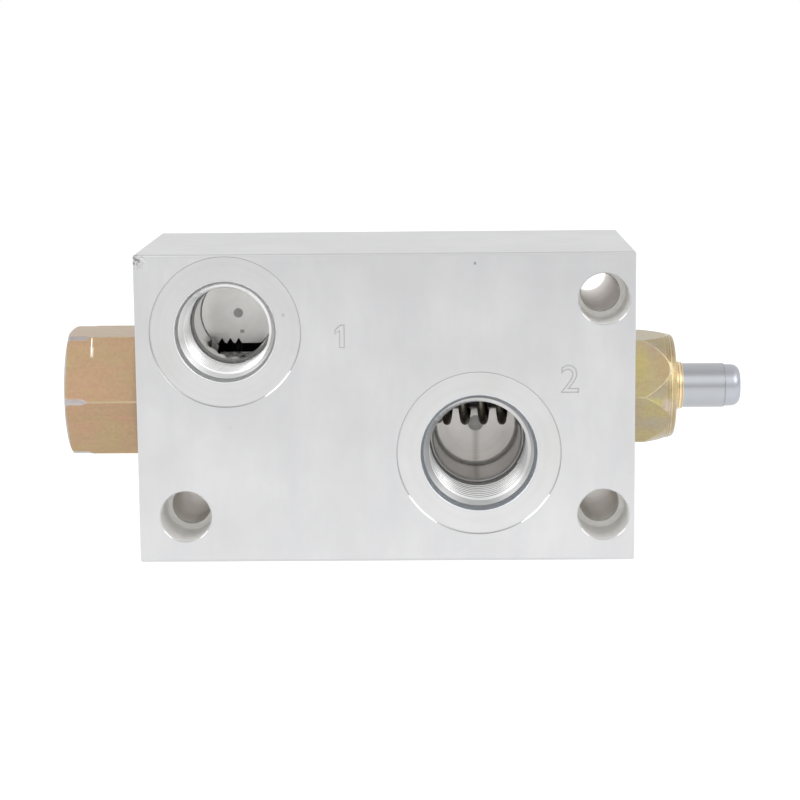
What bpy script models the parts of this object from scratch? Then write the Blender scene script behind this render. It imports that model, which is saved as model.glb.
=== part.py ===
"""Pull-to-open manual control valve in an aluminium manifold block.

The cartridge bore runs along X through the block. A flow regulator cartridge screws into its left end
and a spring-closed poppet with a pull rod sits in its right end. Two threaded ports open in the front.
Metres, +Z up: the block stands on its underside, with the origin at the centre of that face, and the
ported front faces -Y.
"""

import math

import bmesh
import bpy
from mathutils import Matrix, Vector

# Gap between pieces that seat on each other, and the two sliding fits
GAP = 0.0003
ROD_FIT = 0.00008
SPOOL_FIT = 0.00006

# Block
BLOCK_LENGTH = 0.1016
BLOCK_DEPTH = 0.0508
BLOCK_HEIGHT = 0.0635
BLOCK_EDGE = 0.0004
BORE_SETBACK = 0.028575

# Threaded ports: places from the block's ends and above or below the cartridge bore, diameters, depths
UPPER_PORT_SIDE = 0.01837
UPPER_PORT_RISE = 0.0159
UPPER_PORT_FACE = 0.0306
UPPER_PORT_MOUTH = 0.0206
UPPER_PORT_BORE = 0.0174
UPPER_PORT_PILOT = 0.0162
UPPER_PORT_THREAD = 0.018
UPPER_PORT_DEPTH = 0.0325
UPPER_PORT_MARK = 0.0020
LOWER_PORT_SIDE = 0.0318
LOWER_PORT_DROP = 0.00935
LOWER_PORT_FACE = 0.0334
LOWER_PORT_MOUTH = 0.0239
LOWER_PORT_BORE = 0.02026
LOWER_PORT_PILOT = 0.0185
LOWER_PORT_THREAD = 0.020
LOWER_PORT_DEPTH = 0.0365
LOWER_PORT_MARK = 0.0034
PORT_FACE_DEPTH = 0.00025
SEAL_TAPER = 0.0026

# Bolt holes through the block, sunk for cap screws
BOLT_HOLE = 0.00794
BOLT_HEAD_HOLE = 0.0104
BOLT_HEAD_DEPTH = 0.0125
BOLT_LEFT_INSET = 0.009525
BOLT_RIGHT_INSET = 0.00635
BOLT_EDGE_INSET = 0.009525

# Cartridge bore, from the left face to the right
LEFT_BORE = 0.02026
LEFT_MOUTH = 0.0239
LEFT_BORE_LENGTH = 0.0328
LAND_BORE = 0.01648
LAND_LENGTH = 0.0114
WEB_BORE = 0.0110
WEB_THICKNESS = 0.0040
RIGHT_BORE = 0.0174
RIGHT_MOUTH = 0.0206

# Regulator cartridge in the left end
PLUG_FLATS = 0.0254
PLUG_HEAD = 0.01715
PLUG_BAND_CUT = 0.00036
PLUG_BAND_LENGTH = 0.0040
PLUG_BAND_RUNOUT = 0.0015
PLUG_ROUND = 0.00095
PLUG_SHANK = 0.0144
PLUG_TURN = -2.3
HEX_FACE_SHARE = 0.90
PLUG_SPRING_BORE = 0.0108
PLUG_SPRING_DEPTH = 0.0236
SLEEVE_SPIGOT = 0.0128
SLEEVE_SPIGOT_LENGTH = 0.0038
SLEEVE_BORE = 0.0112
SLEEVE_NOSE_BORE = 0.0072
SLEEVE_NOSE_WALL = 0.0047
SLEEVE_GROOVE_WIDTH = 0.0044
SLEEVE_GROOVE_INSET = 0.0045
SLEEVE_GROOVE = 0.0126
SLEEVE_PORT = 0.0040
SLEEVE_PORT_INSET = 0.0187
BACKUP_WIDTH = 0.0012
SPOOL_LENGTH = 0.0204
SPOOL_BORE = 0.0080
SPOOL_WAIST = 0.0100
SPOOL_WAIST_LENGTH = 0.0050
SPOOL_PORT = 0.0026
ORIFICE_SEAT = 0.0092
ORIFICE_SEAT_DEPTH = 0.0027
ORIFICE_THICKNESS = 0.0012
ORIFICE_HOLE = 0.0026
SNAP_RING_WIRE = 0.0006
REGULATOR_WIRE = 0.0011
REGULATOR_TURNS = 7.5

# Seat, poppet and pull rod in the right end
SEAT_LENGTH = 0.0055
SEAT_BORE = 0.0092
SEAT_CHAMFER = 0.0009
SEAT_GROOVE = 0.0139
SEAT_GROOVE_WIDTH = 0.0022
SEAT_GROOVE_INSET = 0.0016
POPPET_NOSE = 0.0008
POPPET_BODY = 0.0128
POPPET_BODY_LENGTH = 0.0035
POPPET_FLANGE = 0.0162
POPPET_FLANGE_THICKNESS = 0.0016
POPPET_SLOT_WIDTH = 0.0030
POPPET_SLOT_DEPTH = 0.0018
ROD_DIAMETER = 0.009525
ROD_SPIGOT = 0.0052
ROD_SPIGOT_LENGTH = 0.0066
PIN_DIAMETER = 0.0014
PIN_BACK = 0.0017
ROD_REACH = 0.0215
TIP_DIAMETER = 0.0090
TIP_LENGTH = 0.0030
TIP_ROUND_LENGTH = 0.0019
TIP_ROUND_DEPTH = 0.0016
TIP_STUD = 0.0040
TIP_STUD_LENGTH = 0.0050
SPRING_DIAMETER = 0.01572
SPRING_WIRE = 0.00175
SPRING_TURNS = 6.5
SPRING_START = 95.0

# Gland that closes the right end and guides the rod
GLAND_FLATS = 0.022225
GLAND_HEAD = 0.0103
GLAND_STRAIGHT = 0.0033
GLAND_CONE = 17.5
GLAND_EDGE_LENGTH = 0.0018
GLAND_EDGE_DEPTH = 0.0011
GLAND_CROWN = 0.00015
GLAND_SHANK = 0.0155
GLAND_TURN = -2.7
GLAND_LIP = 0.0112
GLAND_LIP_END = 0.0100
GLAND_LIP_LENGTH = 0.0018
GLAND_SEAL_BORE = 0.0127
GUIDE_LENGTH = 0.0060
ROD_SEAL_LENGTH = 0.0040
WIPER_LENGTH = 0.0027
WIPER_GROOVE = 0.0130
WIPER_INSET = 0.0008
SPRING_WASHER = 0.0012

# Smallest wall beside a groove, and the ring cords
RELIEF_WALL = 0.00065
PLUG_RELIEF_LENGTH = 0.0025
GLAND_RELIEF_LENGTH = 0.0025

# Facets
BORE_STEPS = 48
ROUND_STEPS = 32
CORD_STEPS = 8
COIL_STEPS = 15
ARC_STEPS = 4

# Places worked out from the sizes above
AXIS_Y = BORE_SETBACK - BLOCK_DEPTH / 2
AXIS_Z = BLOCK_HEIGHT / 2
LEFT_FACE = -BLOCK_LENGTH / 2
RIGHT_FACE = BLOCK_LENGTH / 2
LAND_START = LEFT_FACE + LEFT_BORE_LENGTH
WEB_START = LAND_START + LAND_LENGTH
SEAT_SHOULDER = WEB_START + WEB_THICKNESS
PLUG_HEAD_FACE = LEFT_FACE - GAP
PLUG_END = LEFT_FACE + PLUG_SHANK
GLAND_HEAD_FACE = RIGHT_FACE + GAP
GLAND_END = RIGHT_FACE - GLAND_SHANK
SEAT_END = SEAT_SHOULDER + GAP + SEAT_LENGTH
ROD_BORE = ROD_DIAMETER + 2 * ROD_FIT
ROD_CLEAR = ROD_DIAMETER + 2 * GAP


def material(name, colour, roughness, metallic):
    """A Principled material; shared by the pieces that ask for the same name."""
    made = bpy.data.materials.get(name)
    if made:
        return made
    made = bpy.data.materials.new(name)
    made.use_nodes = True
    shader = made.node_tree.nodes["Principled BSDF"]
    shader.inputs["Base Color"].default_value = (*colour, 1.0)
    shader.inputs["Roughness"].default_value = roughness
    shader.inputs["Metallic"].default_value = metallic
    made.diffuse_color = (*colour, 1.0)
    return made


def aluminium():
    return material("milled_aluminium", (0.66, 0.67, 0.68), 0.38, 1.0)


def zinc(name, colour):
    return material(name, colour, 0.34, 1.0)


def steel():
    return material("ground_steel", (0.52, 0.54, 0.57), 0.24, 1.0)


def hard_steel():
    return material("hardened_steel", (0.30, 0.30, 0.31), 0.3, 1.0)


def spring_steel():
    return material("spring_steel", (0.10, 0.095, 0.085), 0.42, 1.0)


def rubber():
    return material("nitrile", (0.02, 0.02, 0.022), 0.55, 0.0)


def polymer(name, colour):
    return material(name, colour, 0.5, 0.0)


def add_object(name, mesh, look=None):
    """Put a mesh in the scene as a named object."""
    made = bpy.data.objects.new(name, mesh)
    bpy.context.scene.collection.objects.link(made)
    if look:
        mesh.materials.append(look)
    return made


def mesh_from(bm, name, smooth=True):
    """Turn a bmesh into a closed mesh whose faces point out."""
    bmesh.ops.remove_doubles(bm, verts=bm.verts, dist=1e-7)
    bmesh.ops.recalc_face_normals(bm, faces=bm.faces)
    mesh = bpy.data.meshes.new(name)
    bm.to_mesh(mesh)
    bm.free()
    if smooth:
        mesh.shade_smooth()
        mesh.set_sharp_from_angle(angle=math.radians(32))
    return mesh


def as_cutter(cutter):
    """A cutter is only a guide: it stays out of the model itself."""
    cutter.hide_render = True
    cutter.display_type = "WIRE"
    return cutter


def cut(target, cutter):
    modifier = target.modifiers.new(cutter.name, "BOOLEAN")
    modifier.operation = "DIFFERENCE"
    modifier.solver = "EXACT"
    modifier.object = cutter


def rounded(side_x, side_radius, face_x, face_radius):
    """Points of a rounded edge in a turned outline, from its side, where it runs along X, to its end face."""
    turns = [math.pi / 2 * i / ARC_STEPS for i in range(ARC_STEPS + 1)]
    return [(side_x + (face_x - side_x) * math.sin(t), face_radius + (side_radius - face_radius) * math.cos(t))
            for t in turns]


def turned(name, outline, look=None, steps=ROUND_STEPS, ring=False):
    """Turn an outline of (x, radius) points about the X axis. A ring's outline closes on itself."""
    bm = bmesh.new()
    points = [bm.verts.new((x, radius, 0)) for x, radius in outline]
    ends = points[1:] + points[:1] if ring else points[1:]
    edges = [bm.edges.new(pair) for pair in zip(points, ends)]
    bmesh.ops.spin(bm, geom=points + edges, cent=(0, 0, 0), axis=(1, 0, 0),
                   angle=math.tau, steps=steps, use_merge=True)
    return add_object(name, mesh_from(bm, name), look)


def on_axis(made):
    """Place a turned piece on the axis of the cartridge bore."""
    made.location = (0, AXIS_Y, AXIS_Z)
    return made


def tube(name, start, end, inner, outer, look=None):
    """A plain ring or tube on the cartridge axis, from its diameters."""
    outline = [(start, inner / 2), (end, inner / 2), (end, outer / 2), (start, outer / 2)]
    return on_axis(turned(name, outline, look, ring=True))


def cord_ring(name, centre, inner, outer, look):
    """A round-section seal ring between two diameters."""
    cord = (outer - inner) / 4
    middle = (outer + inner) / 4
    turns = [math.tau * i / CORD_STEPS for i in range(CORD_STEPS)]
    outline = [(centre + cord * math.cos(a), middle + cord * math.sin(a)) for a in turns]
    return on_axis(turned(name, outline, look, ring=True))


def cylinder_cutter(name, start, end, diameter):
    """A plain cylinder along X, as a cutter."""
    outline = [(start, 0), (start, diameter / 2), (end, diameter / 2), (end, 0)]
    return as_cutter(turned(name, outline))


def cross_holes(target, name, x, diameter, length, count, first=0.0):
    """Drill holes through the axis of a piece, each turned from the last."""
    step = 90.0
    for i in range(count):
        drill = cylinder_cutter(f"{name}_{i + 1}", -length / 2, length / 2, diameter)
        drill.data.transform(Matrix.Rotation(math.pi / 2, 4, "Y"))
        drill.data.transform(Matrix.Rotation(math.radians(first + step * i), 4, "X"))
        drill.location = (x, AXIS_Y, AXIS_Z)
        cut(target, drill)


def hex_ring_cutter(name, start, end, flats, turn, reach):
    """What lies outside a hexagon: it mills the six flats on a turned head."""
    bm = bmesh.new()
    corner = flats / 2 / math.cos(math.pi / 6)
    loops = []
    for radius in (corner, corner + reach):
        for x in (start, end):
            angles = [math.radians(turn) + math.tau * i / 6 for i in range(6)]
            loops.append([bm.verts.new((x, -radius * math.cos(a), radius * math.sin(a))) for a in angles])
    inner_start, inner_end, outer_start, outer_end = loops
    walls = ((inner_start, inner_end), (outer_end, outer_start), (outer_start, inner_start), (inner_end, outer_end))
    for one, other in walls:
        for i in range(6):
            j = (i + 1) % 6
            bm.faces.new((one[i], one[j], other[j], other[i]))
    return as_cutter(on_axis(add_object(name, mesh_from(bm, name, smooth=False))))


def port_cutter(name, face, mouth, bore, pilot, thread, depth, mark):
    """The tool that forms a port: spot face, seal taper, thread bore, pilot bore and its centre mark."""
    proud = 0.001
    outline = [
        (-proud, 0),
        (-proud, face / 2),
        (PORT_FACE_DEPTH, face / 2),
        (PORT_FACE_DEPTH, mouth / 2),
        (SEAL_TAPER, (mouth + bore) / 4 + RELIEF_WALL / 2),
        (SEAL_TAPER + (mouth - bore) / 8, bore / 2),
        (thread, bore / 2),
        (thread + (bore - pilot) / 4, pilot / 2),
        (depth, pilot / 2),
        (depth, mark / 2),
        (depth + mark / 4, 0),
    ]
    return as_cutter(turned(name, outline, steps=BORE_STEPS))


def bore_outline():
    """The stepped cartridge bore, from beyond the left face to beyond the right face."""
    proud = 0.001
    left_seal = LEFT_FACE + SEAL_TAPER
    right_seal = RIGHT_FACE - SEAL_TAPER
    left_taper = (LEFT_MOUTH + LEFT_BORE) / 4 + RELIEF_WALL / 2
    right_taper = (RIGHT_MOUTH + RIGHT_BORE) / 4 + RELIEF_WALL / 2
    return [
        (LEFT_FACE - proud, 0),
        (LEFT_FACE - proud, LEFT_MOUTH / 2),
        (LEFT_FACE, LEFT_MOUTH / 2),
        (left_seal, left_taper),
        (left_seal + (LEFT_MOUTH - LEFT_BORE) / 8, LEFT_BORE / 2),
        (LAND_START, LEFT_BORE / 2),
        (LAND_START, LAND_BORE / 2),
        (WEB_START, LAND_BORE / 2),
        (WEB_START, WEB_BORE / 2),
        (SEAT_SHOULDER, WEB_BORE / 2),
        (SEAT_SHOULDER, RIGHT_BORE / 2),
        (right_seal - (RIGHT_MOUTH - RIGHT_BORE) / 8, RIGHT_BORE / 2),
        (right_seal, right_taper),
        (RIGHT_FACE, RIGHT_MOUTH / 2),
        (RIGHT_FACE + proud, RIGHT_MOUTH / 2),
        (RIGHT_FACE + proud, 0),
    ]


def facing_back(cutter, x, z):
    """Stand a cutter on the front face, so that its own X runs into the block."""
    cutter.rotation_euler = (0, 0, math.pi / 2)
    cutter.location = (x, -BLOCK_DEPTH / 2, z)
    return cutter


def bolt_places():
    """The three bolt holes: both lower corners and the upper right one."""
    low = BOLT_EDGE_INSET
    high = BLOCK_HEIGHT - BOLT_EDGE_INSET
    right = RIGHT_FACE - BOLT_RIGHT_INSET
    return [(LEFT_FACE + BOLT_LEFT_INSET, low), (right, low), (right, high)]


def bolt_cutter(name):
    """A through hole with a flat-bottomed sinking for the screw's head."""
    proud = 0.001
    outline = [
        (-proud, 0),
        (-proud, BOLT_HEAD_HOLE / 2),
        (BOLT_HEAD_DEPTH, BOLT_HEAD_HOLE / 2),
        (BOLT_HEAD_DEPTH, BOLT_HOLE / 2),
        (BLOCK_DEPTH + proud, BOLT_HOLE / 2),
        (BLOCK_DEPTH + proud, 0),
    ]
    return as_cutter(turned(name, outline))


def make_block():
    """The manifold block: a sawn bar with broken edges, then every hole that is machined into it."""
    bm = bmesh.new()
    bmesh.ops.create_cube(bm, size=1.0)
    bmesh.ops.scale(bm, vec=(BLOCK_LENGTH, BLOCK_DEPTH, BLOCK_HEIGHT), verts=bm.verts)
    bmesh.ops.translate(bm, vec=(0, 0, BLOCK_HEIGHT / 2), verts=bm.verts)
    block = add_object("valve_block", mesh_from(bm, "valve_block", smooth=False), aluminium())
    edges = block.modifiers.new("broken_edges", "BEVEL")
    edges.width = BLOCK_EDGE
    edges.segments = 1
    cut(block, as_cutter(on_axis(turned("cartridge_bore", bore_outline(), steps=BORE_STEPS))))
    upper = port_cutter("upper_port", UPPER_PORT_FACE, UPPER_PORT_MOUTH, UPPER_PORT_BORE, UPPER_PORT_PILOT,
                        UPPER_PORT_THREAD, UPPER_PORT_DEPTH, UPPER_PORT_MARK)
    cut(block, facing_back(upper, LEFT_FACE + UPPER_PORT_SIDE, AXIS_Z + UPPER_PORT_RISE))
    lower = port_cutter("lower_port", LOWER_PORT_FACE, LOWER_PORT_MOUTH, LOWER_PORT_BORE, LOWER_PORT_PILOT,
                        LOWER_PORT_THREAD, LOWER_PORT_DEPTH, LOWER_PORT_MARK)
    cut(block, facing_back(lower, RIGHT_FACE - LOWER_PORT_SIDE, AXIS_Z - LOWER_PORT_DROP))
    for number, (x, z) in enumerate(bolt_places(), start=1):
        cut(block, facing_back(bolt_cutter(f"bolt_hole_{number}"), x, z))


def coil(name, start, end, outside, wire, turns, first, look):
    """A right-hand compression spring with one closed turn at each end."""
    closed_pitch = wire * 1.06
    length = end - start - wire
    open_pitch = (length - 2 * closed_pitch) / (turns - 2)
    radius = (outside - wire) / 2
    count = round(turns * COIL_STEPS)
    curve = bpy.data.curves.new(name, "CURVE")
    curve.dimensions = "3D"
    curve.bevel_depth = wire / 2
    curve.bevel_resolution = 1
    curve.use_fill_caps = True
    spline = curve.splines.new("POLY")
    spline.points.add(count)
    for i in range(count + 1):
        turn = turns * i / count
        lift = closed_pitch * (min(turn, 1) + max(turn - turns + 1, 0))
        lift += open_pitch * min(max(turn - 1, 0), turns - 2)
        angle = math.tau * turn + math.radians(first)
        place = Vector((start + wire / 2 + lift, -radius * math.cos(angle), -radius * math.sin(angle)))
        spline.points[i].co = (*place, 1)
    curve.materials.append(look)
    return on_axis(add_object(name, curve))


def make_plug():
    """The yellow zinc hex plug, bored from inside for the regulator spring and the sleeve's spigot."""
    corner = PLUG_FLATS / 2 / math.cos(math.pi / 6)
    end = PLUG_HEAD_FACE - PLUG_HEAD
    face = PLUG_FLATS / 2 * HEX_FACE_SHARE
    band = corner - PLUG_BAND_CUT
    band_end = end + PLUG_BAND_LENGTH
    shank = LEFT_BORE / 2 - GAP
    relief = LEFT_BORE / 2 - GAP - RELIEF_WALL
    relief_end = PLUG_HEAD_FACE + PLUG_RELIEF_LENGTH
    spring_floor = PLUG_END - PLUG_SPRING_DEPTH
    spigot_floor = PLUG_END - SLEEVE_SPIGOT_LENGTH
    spigot = SLEEVE_SPIGOT / 2 + GAP
    outline = [(end, 0)]
    outline += reversed(rounded(end + PLUG_ROUND, band, end, face))
    outline += [
        (band_end, band),
        (band_end + 2 * PLUG_BAND_RUNOUT, corner + PLUG_BAND_CUT),
        (PLUG_HEAD_FACE, corner + PLUG_BAND_CUT),
        (PLUG_HEAD_FACE, relief),
        (relief_end, relief),
        (relief_end + RELIEF_WALL, shank),
        (PLUG_END - RELIEF_WALL, shank),
        (PLUG_END, shank - RELIEF_WALL),
        (PLUG_END, spigot),
        (spigot_floor, spigot),
        (spigot_floor, PLUG_SPRING_BORE / 2),
        (spring_floor, PLUG_SPRING_BORE / 2),
        (spring_floor - PLUG_SPRING_BORE / 8, 0),
    ]
    plug = on_axis(turned("regulator_hex_plug", outline, zinc("yellow_zinc_tan", (0.50, 0.34, 0.19))))
    flats = hex_ring_cutter("plug_flats", end - GAP, PLUG_HEAD_FACE + GAP, PLUG_FLATS, PLUG_TURN, PLUG_FLATS)
    cut(plug, flats)
    cord_ring("plug_seal_ring", PLUG_HEAD_FACE + PLUG_RELIEF_LENGTH / 2,
              2 * (relief + GAP), LEFT_MOUTH - 4 * GAP, rubber())


def make_regulator():
    """The sleeve in the left bore with the sliding spool, its metering orifice and its spring."""
    sleeve_outer = LAND_BORE / 2 - GAP
    start = PLUG_END + GAP
    spigot_start = start - SLEEVE_SPIGOT_LENGTH
    end = WEB_START - GAP
    shoulder = end - SLEEVE_NOSE_WALL
    groove_end = end - SLEEVE_GROOVE_INSET
    groove_start = groove_end - SLEEVE_GROOVE_WIDTH
    outline = [
        (spigot_start, SLEEVE_BORE / 2),
        (shoulder, SLEEVE_BORE / 2),
        (shoulder + RELIEF_WALL, SLEEVE_NOSE_BORE / 2),
        (end, SLEEVE_NOSE_BORE / 2),
        (end, sleeve_outer - RELIEF_WALL),
        (end - RELIEF_WALL, sleeve_outer),
        (groove_end, sleeve_outer),
        (groove_end, SLEEVE_GROOVE / 2),
        (groove_start, SLEEVE_GROOVE / 2),
        (groove_start, sleeve_outer),
        (start, sleeve_outer),
        (start, SLEEVE_SPIGOT / 2),
        (spigot_start, SLEEVE_SPIGOT / 2),
    ]
    sleeve = on_axis(turned("regulator_sleeve", outline, hard_steel(), ring=True))
    port_x = end - SLEEVE_PORT_INSET
    cross_holes(sleeve, "sleeve_port", port_x, SLEEVE_PORT, 2 * LAND_BORE, 2)
    ring_inner = SLEEVE_GROOVE + 2 * GAP
    ring_outer = LAND_BORE - 2 * GAP
    backup_start = groove_start + GAP
    tube("sleeve_backup_ring", backup_start, backup_start + BACKUP_WIDTH, ring_inner, ring_outer,
         polymer("backup_polymer", (0.72, 0.70, 0.62)))
    ring_centre = (backup_start + BACKUP_WIDTH + groove_end) / 2
    cord_ring("sleeve_seal_ring", ring_centre, ring_inner, ring_outer, rubber())

    spool_end = shoulder - GAP
    spool_start = spool_end - SPOOL_LENGTH
    spool_outer = SLEEVE_BORE / 2 - SPOOL_FIT
    seat_floor = spool_end - ORIFICE_SEAT_DEPTH
    waist_start = port_x - SPOOL_WAIST_LENGTH / 2
    waist_end = port_x + SPOOL_WAIST_LENGTH / 2
    spool_outline = [
        (spool_start, SPOOL_BORE / 2),
        (seat_floor, SPOOL_BORE / 2),
        (seat_floor, ORIFICE_SEAT / 2),
        (spool_end, ORIFICE_SEAT / 2),
        (spool_end, spool_outer),
        (waist_end, spool_outer),
        (waist_end, SPOOL_WAIST / 2),
        (waist_start, SPOOL_WAIST / 2),
        (waist_start, spool_outer),
        (spool_start, spool_outer),
    ]
    spool = on_axis(turned("regulator_spool", spool_outline, steel(), ring=True))
    cross_holes(spool, "spool_port", port_x, SPOOL_PORT, LAND_BORE, 2, first=45.0)
    disc_start = seat_floor + GAP
    disc_end = disc_start + ORIFICE_THICKNESS
    disc_outer = ORIFICE_SEAT - 2 * GAP
    tube("orifice_disc", disc_start, disc_end, ORIFICE_HOLE, disc_outer, hard_steel())
    ring_start = disc_end + GAP
    tube("orifice_snap_ring", ring_start, ring_start + SNAP_RING_WIRE,
         disc_outer - 3 * SNAP_RING_WIRE, disc_outer, spring_steel())
    spring_start = PLUG_END - PLUG_SPRING_DEPTH + GAP
    coil("regulator_spring", spring_start, spool_start - GAP, PLUG_SPRING_BORE - 2 * GAP, REGULATOR_WIRE,
         REGULATOR_TURNS, 0.0, spring_steel())


def make_seat():
    """The hard seat ring against the shoulder in the right bore, with its seal ring."""
    start = SEAT_SHOULDER + GAP
    outer = RIGHT_BORE / 2 - GAP
    groove_start = start + SEAT_GROOVE_INSET
    groove_end = groove_start + SEAT_GROOVE_WIDTH
    outline = [
        (start, SEAT_BORE / 2),
        (SEAT_END - SEAT_CHAMFER, SEAT_BORE / 2),
        (SEAT_END, SEAT_BORE / 2 + SEAT_CHAMFER),
        (SEAT_END, outer),
        (groove_end, outer),
        (groove_end, SEAT_GROOVE / 2),
        (groove_start, SEAT_GROOVE / 2),
        (groove_start, outer),
        (start, outer),
    ]
    on_axis(turned("poppet_seat", outline, hard_steel(), ring=True))
    cord_ring("seat_seal_ring", (groove_start + groove_end) / 2,
              SEAT_GROOVE + 2 * GAP, RIGHT_BORE - 2 * GAP, rubber())


def poppet_places():
    """The poppet's stations along the axis: nose, end of the cone, back of the body, back of the flange."""
    nose = SEAT_END - SEAT_CHAMFER - POPPET_NOSE
    nose_radius = SEAT_BORE / 2 - POPPET_NOSE - GAP * math.sqrt(2)
    cone_end = nose + POPPET_BODY / 2 - nose_radius
    body_end = cone_end + POPPET_BODY_LENGTH
    return nose, nose_radius, cone_end, body_end, body_end + POPPET_FLANGE_THICKNESS


def make_poppet():
    """The 45 degree poppet on the rod's spigot, with a slotted flange that carries the spring."""
    nose, nose_radius, cone_end, body_end, back = poppet_places()
    spigot_hole = ROD_SPIGOT / 2 + GAP
    spigot_floor = back - ROD_SPIGOT_LENGTH
    outline = [
        (nose, 0),
        (nose, nose_radius),
        (cone_end, POPPET_BODY / 2),
        (body_end, POPPET_BODY / 2),
        (body_end, POPPET_FLANGE / 2),
        (back, POPPET_FLANGE / 2),
        (back, spigot_hole),
        (spigot_floor, spigot_hole),
        (spigot_floor, 0),
    ]
    poppet = on_axis(turned("poppet", outline, hard_steel()))
    for i in range(4):
        bm = bmesh.new()
        bmesh.ops.create_cube(bm, size=1.0)
        length = POPPET_FLANGE_THICKNESS + 2 * GAP
        bmesh.ops.scale(bm, vec=(length, 2 * POPPET_SLOT_DEPTH, POPPET_SLOT_WIDTH), verts=bm.verts)
        middle = (body_end + back) / 2
        bmesh.ops.translate(bm, vec=(middle, POPPET_FLANGE / 2, 0), verts=bm.verts)
        turn = Matrix.Rotation(math.tau * (i + 0.5) / 4, 3, "X")
        bmesh.ops.rotate(bm, cent=(0, 0, 0), matrix=turn, verts=bm.verts)
        name = f"flange_slot_{i + 1}"
        cut(poppet, as_cutter(on_axis(add_object(name, mesh_from(bm, name, smooth=False)))))
    pin_x = back - POPPET_FLANGE_THICKNESS - PIN_BACK
    cross_holes(poppet, "poppet_pin_hole", pin_x, PIN_DIAMETER + 2 * GAP, 2 * POPPET_BODY, 1)
    return back, pin_x


def make_rod(back, pin_x):
    """The pull rod with its spigot, the cross pin that locks the poppet on it and the pressed-in tip."""
    start = back + GAP
    end = RIGHT_FACE + ROD_REACH
    stud_hole = TIP_STUD / 2 + GAP
    stud_floor = end - TIP_STUD_LENGTH
    spigot_end = back - ROD_SPIGOT_LENGTH + GAP
    edge = RELIEF_WALL / 2
    outline = [
        (spigot_end, 0),
        (spigot_end, ROD_SPIGOT / 2),
        (start, ROD_SPIGOT / 2),
        (start, ROD_DIAMETER / 2),
        (end - edge, ROD_DIAMETER / 2),
        (end, ROD_DIAMETER / 2 - edge),
        (end, stud_hole),
        (stud_floor, stud_hole),
        (stud_floor, 0),
    ]
    steel_rod = on_axis(turned("plunger_rod", outline, steel()))
    cross_holes(steel_rod, "rod_pin_hole", pin_x, PIN_DIAMETER + 2 * GAP, 2 * ROD_DIAMETER, 1)
    pin = turned("poppet_pin", [(-POPPET_BODY / 2 + GAP, 0), (-POPPET_BODY / 2 + GAP, PIN_DIAMETER / 2),
                                (POPPET_BODY / 2 - GAP, PIN_DIAMETER / 2), (POPPET_BODY / 2 - GAP, 0)],
                 hard_steel(), steps=12)
    pin.data.transform(Matrix.Rotation(math.pi / 2, 4, "Y"))
    pin.location = (pin_x, AXIS_Y, AXIS_Z)

    tip_start = end + GAP
    tip_end = tip_start + TIP_LENGTH
    tip = [(stud_floor + GAP, 0), (stud_floor + GAP, TIP_STUD / 2), (tip_start, TIP_STUD / 2),
           (tip_start, TIP_DIAMETER / 2)]
    tip += rounded(tip_end - TIP_ROUND_LENGTH, TIP_DIAMETER / 2, tip_end, TIP_DIAMETER / 2 - TIP_ROUND_DEPTH)
    tip += [(tip_end, 0)]
    on_axis(turned("rod_tip", tip, steel()))


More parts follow.
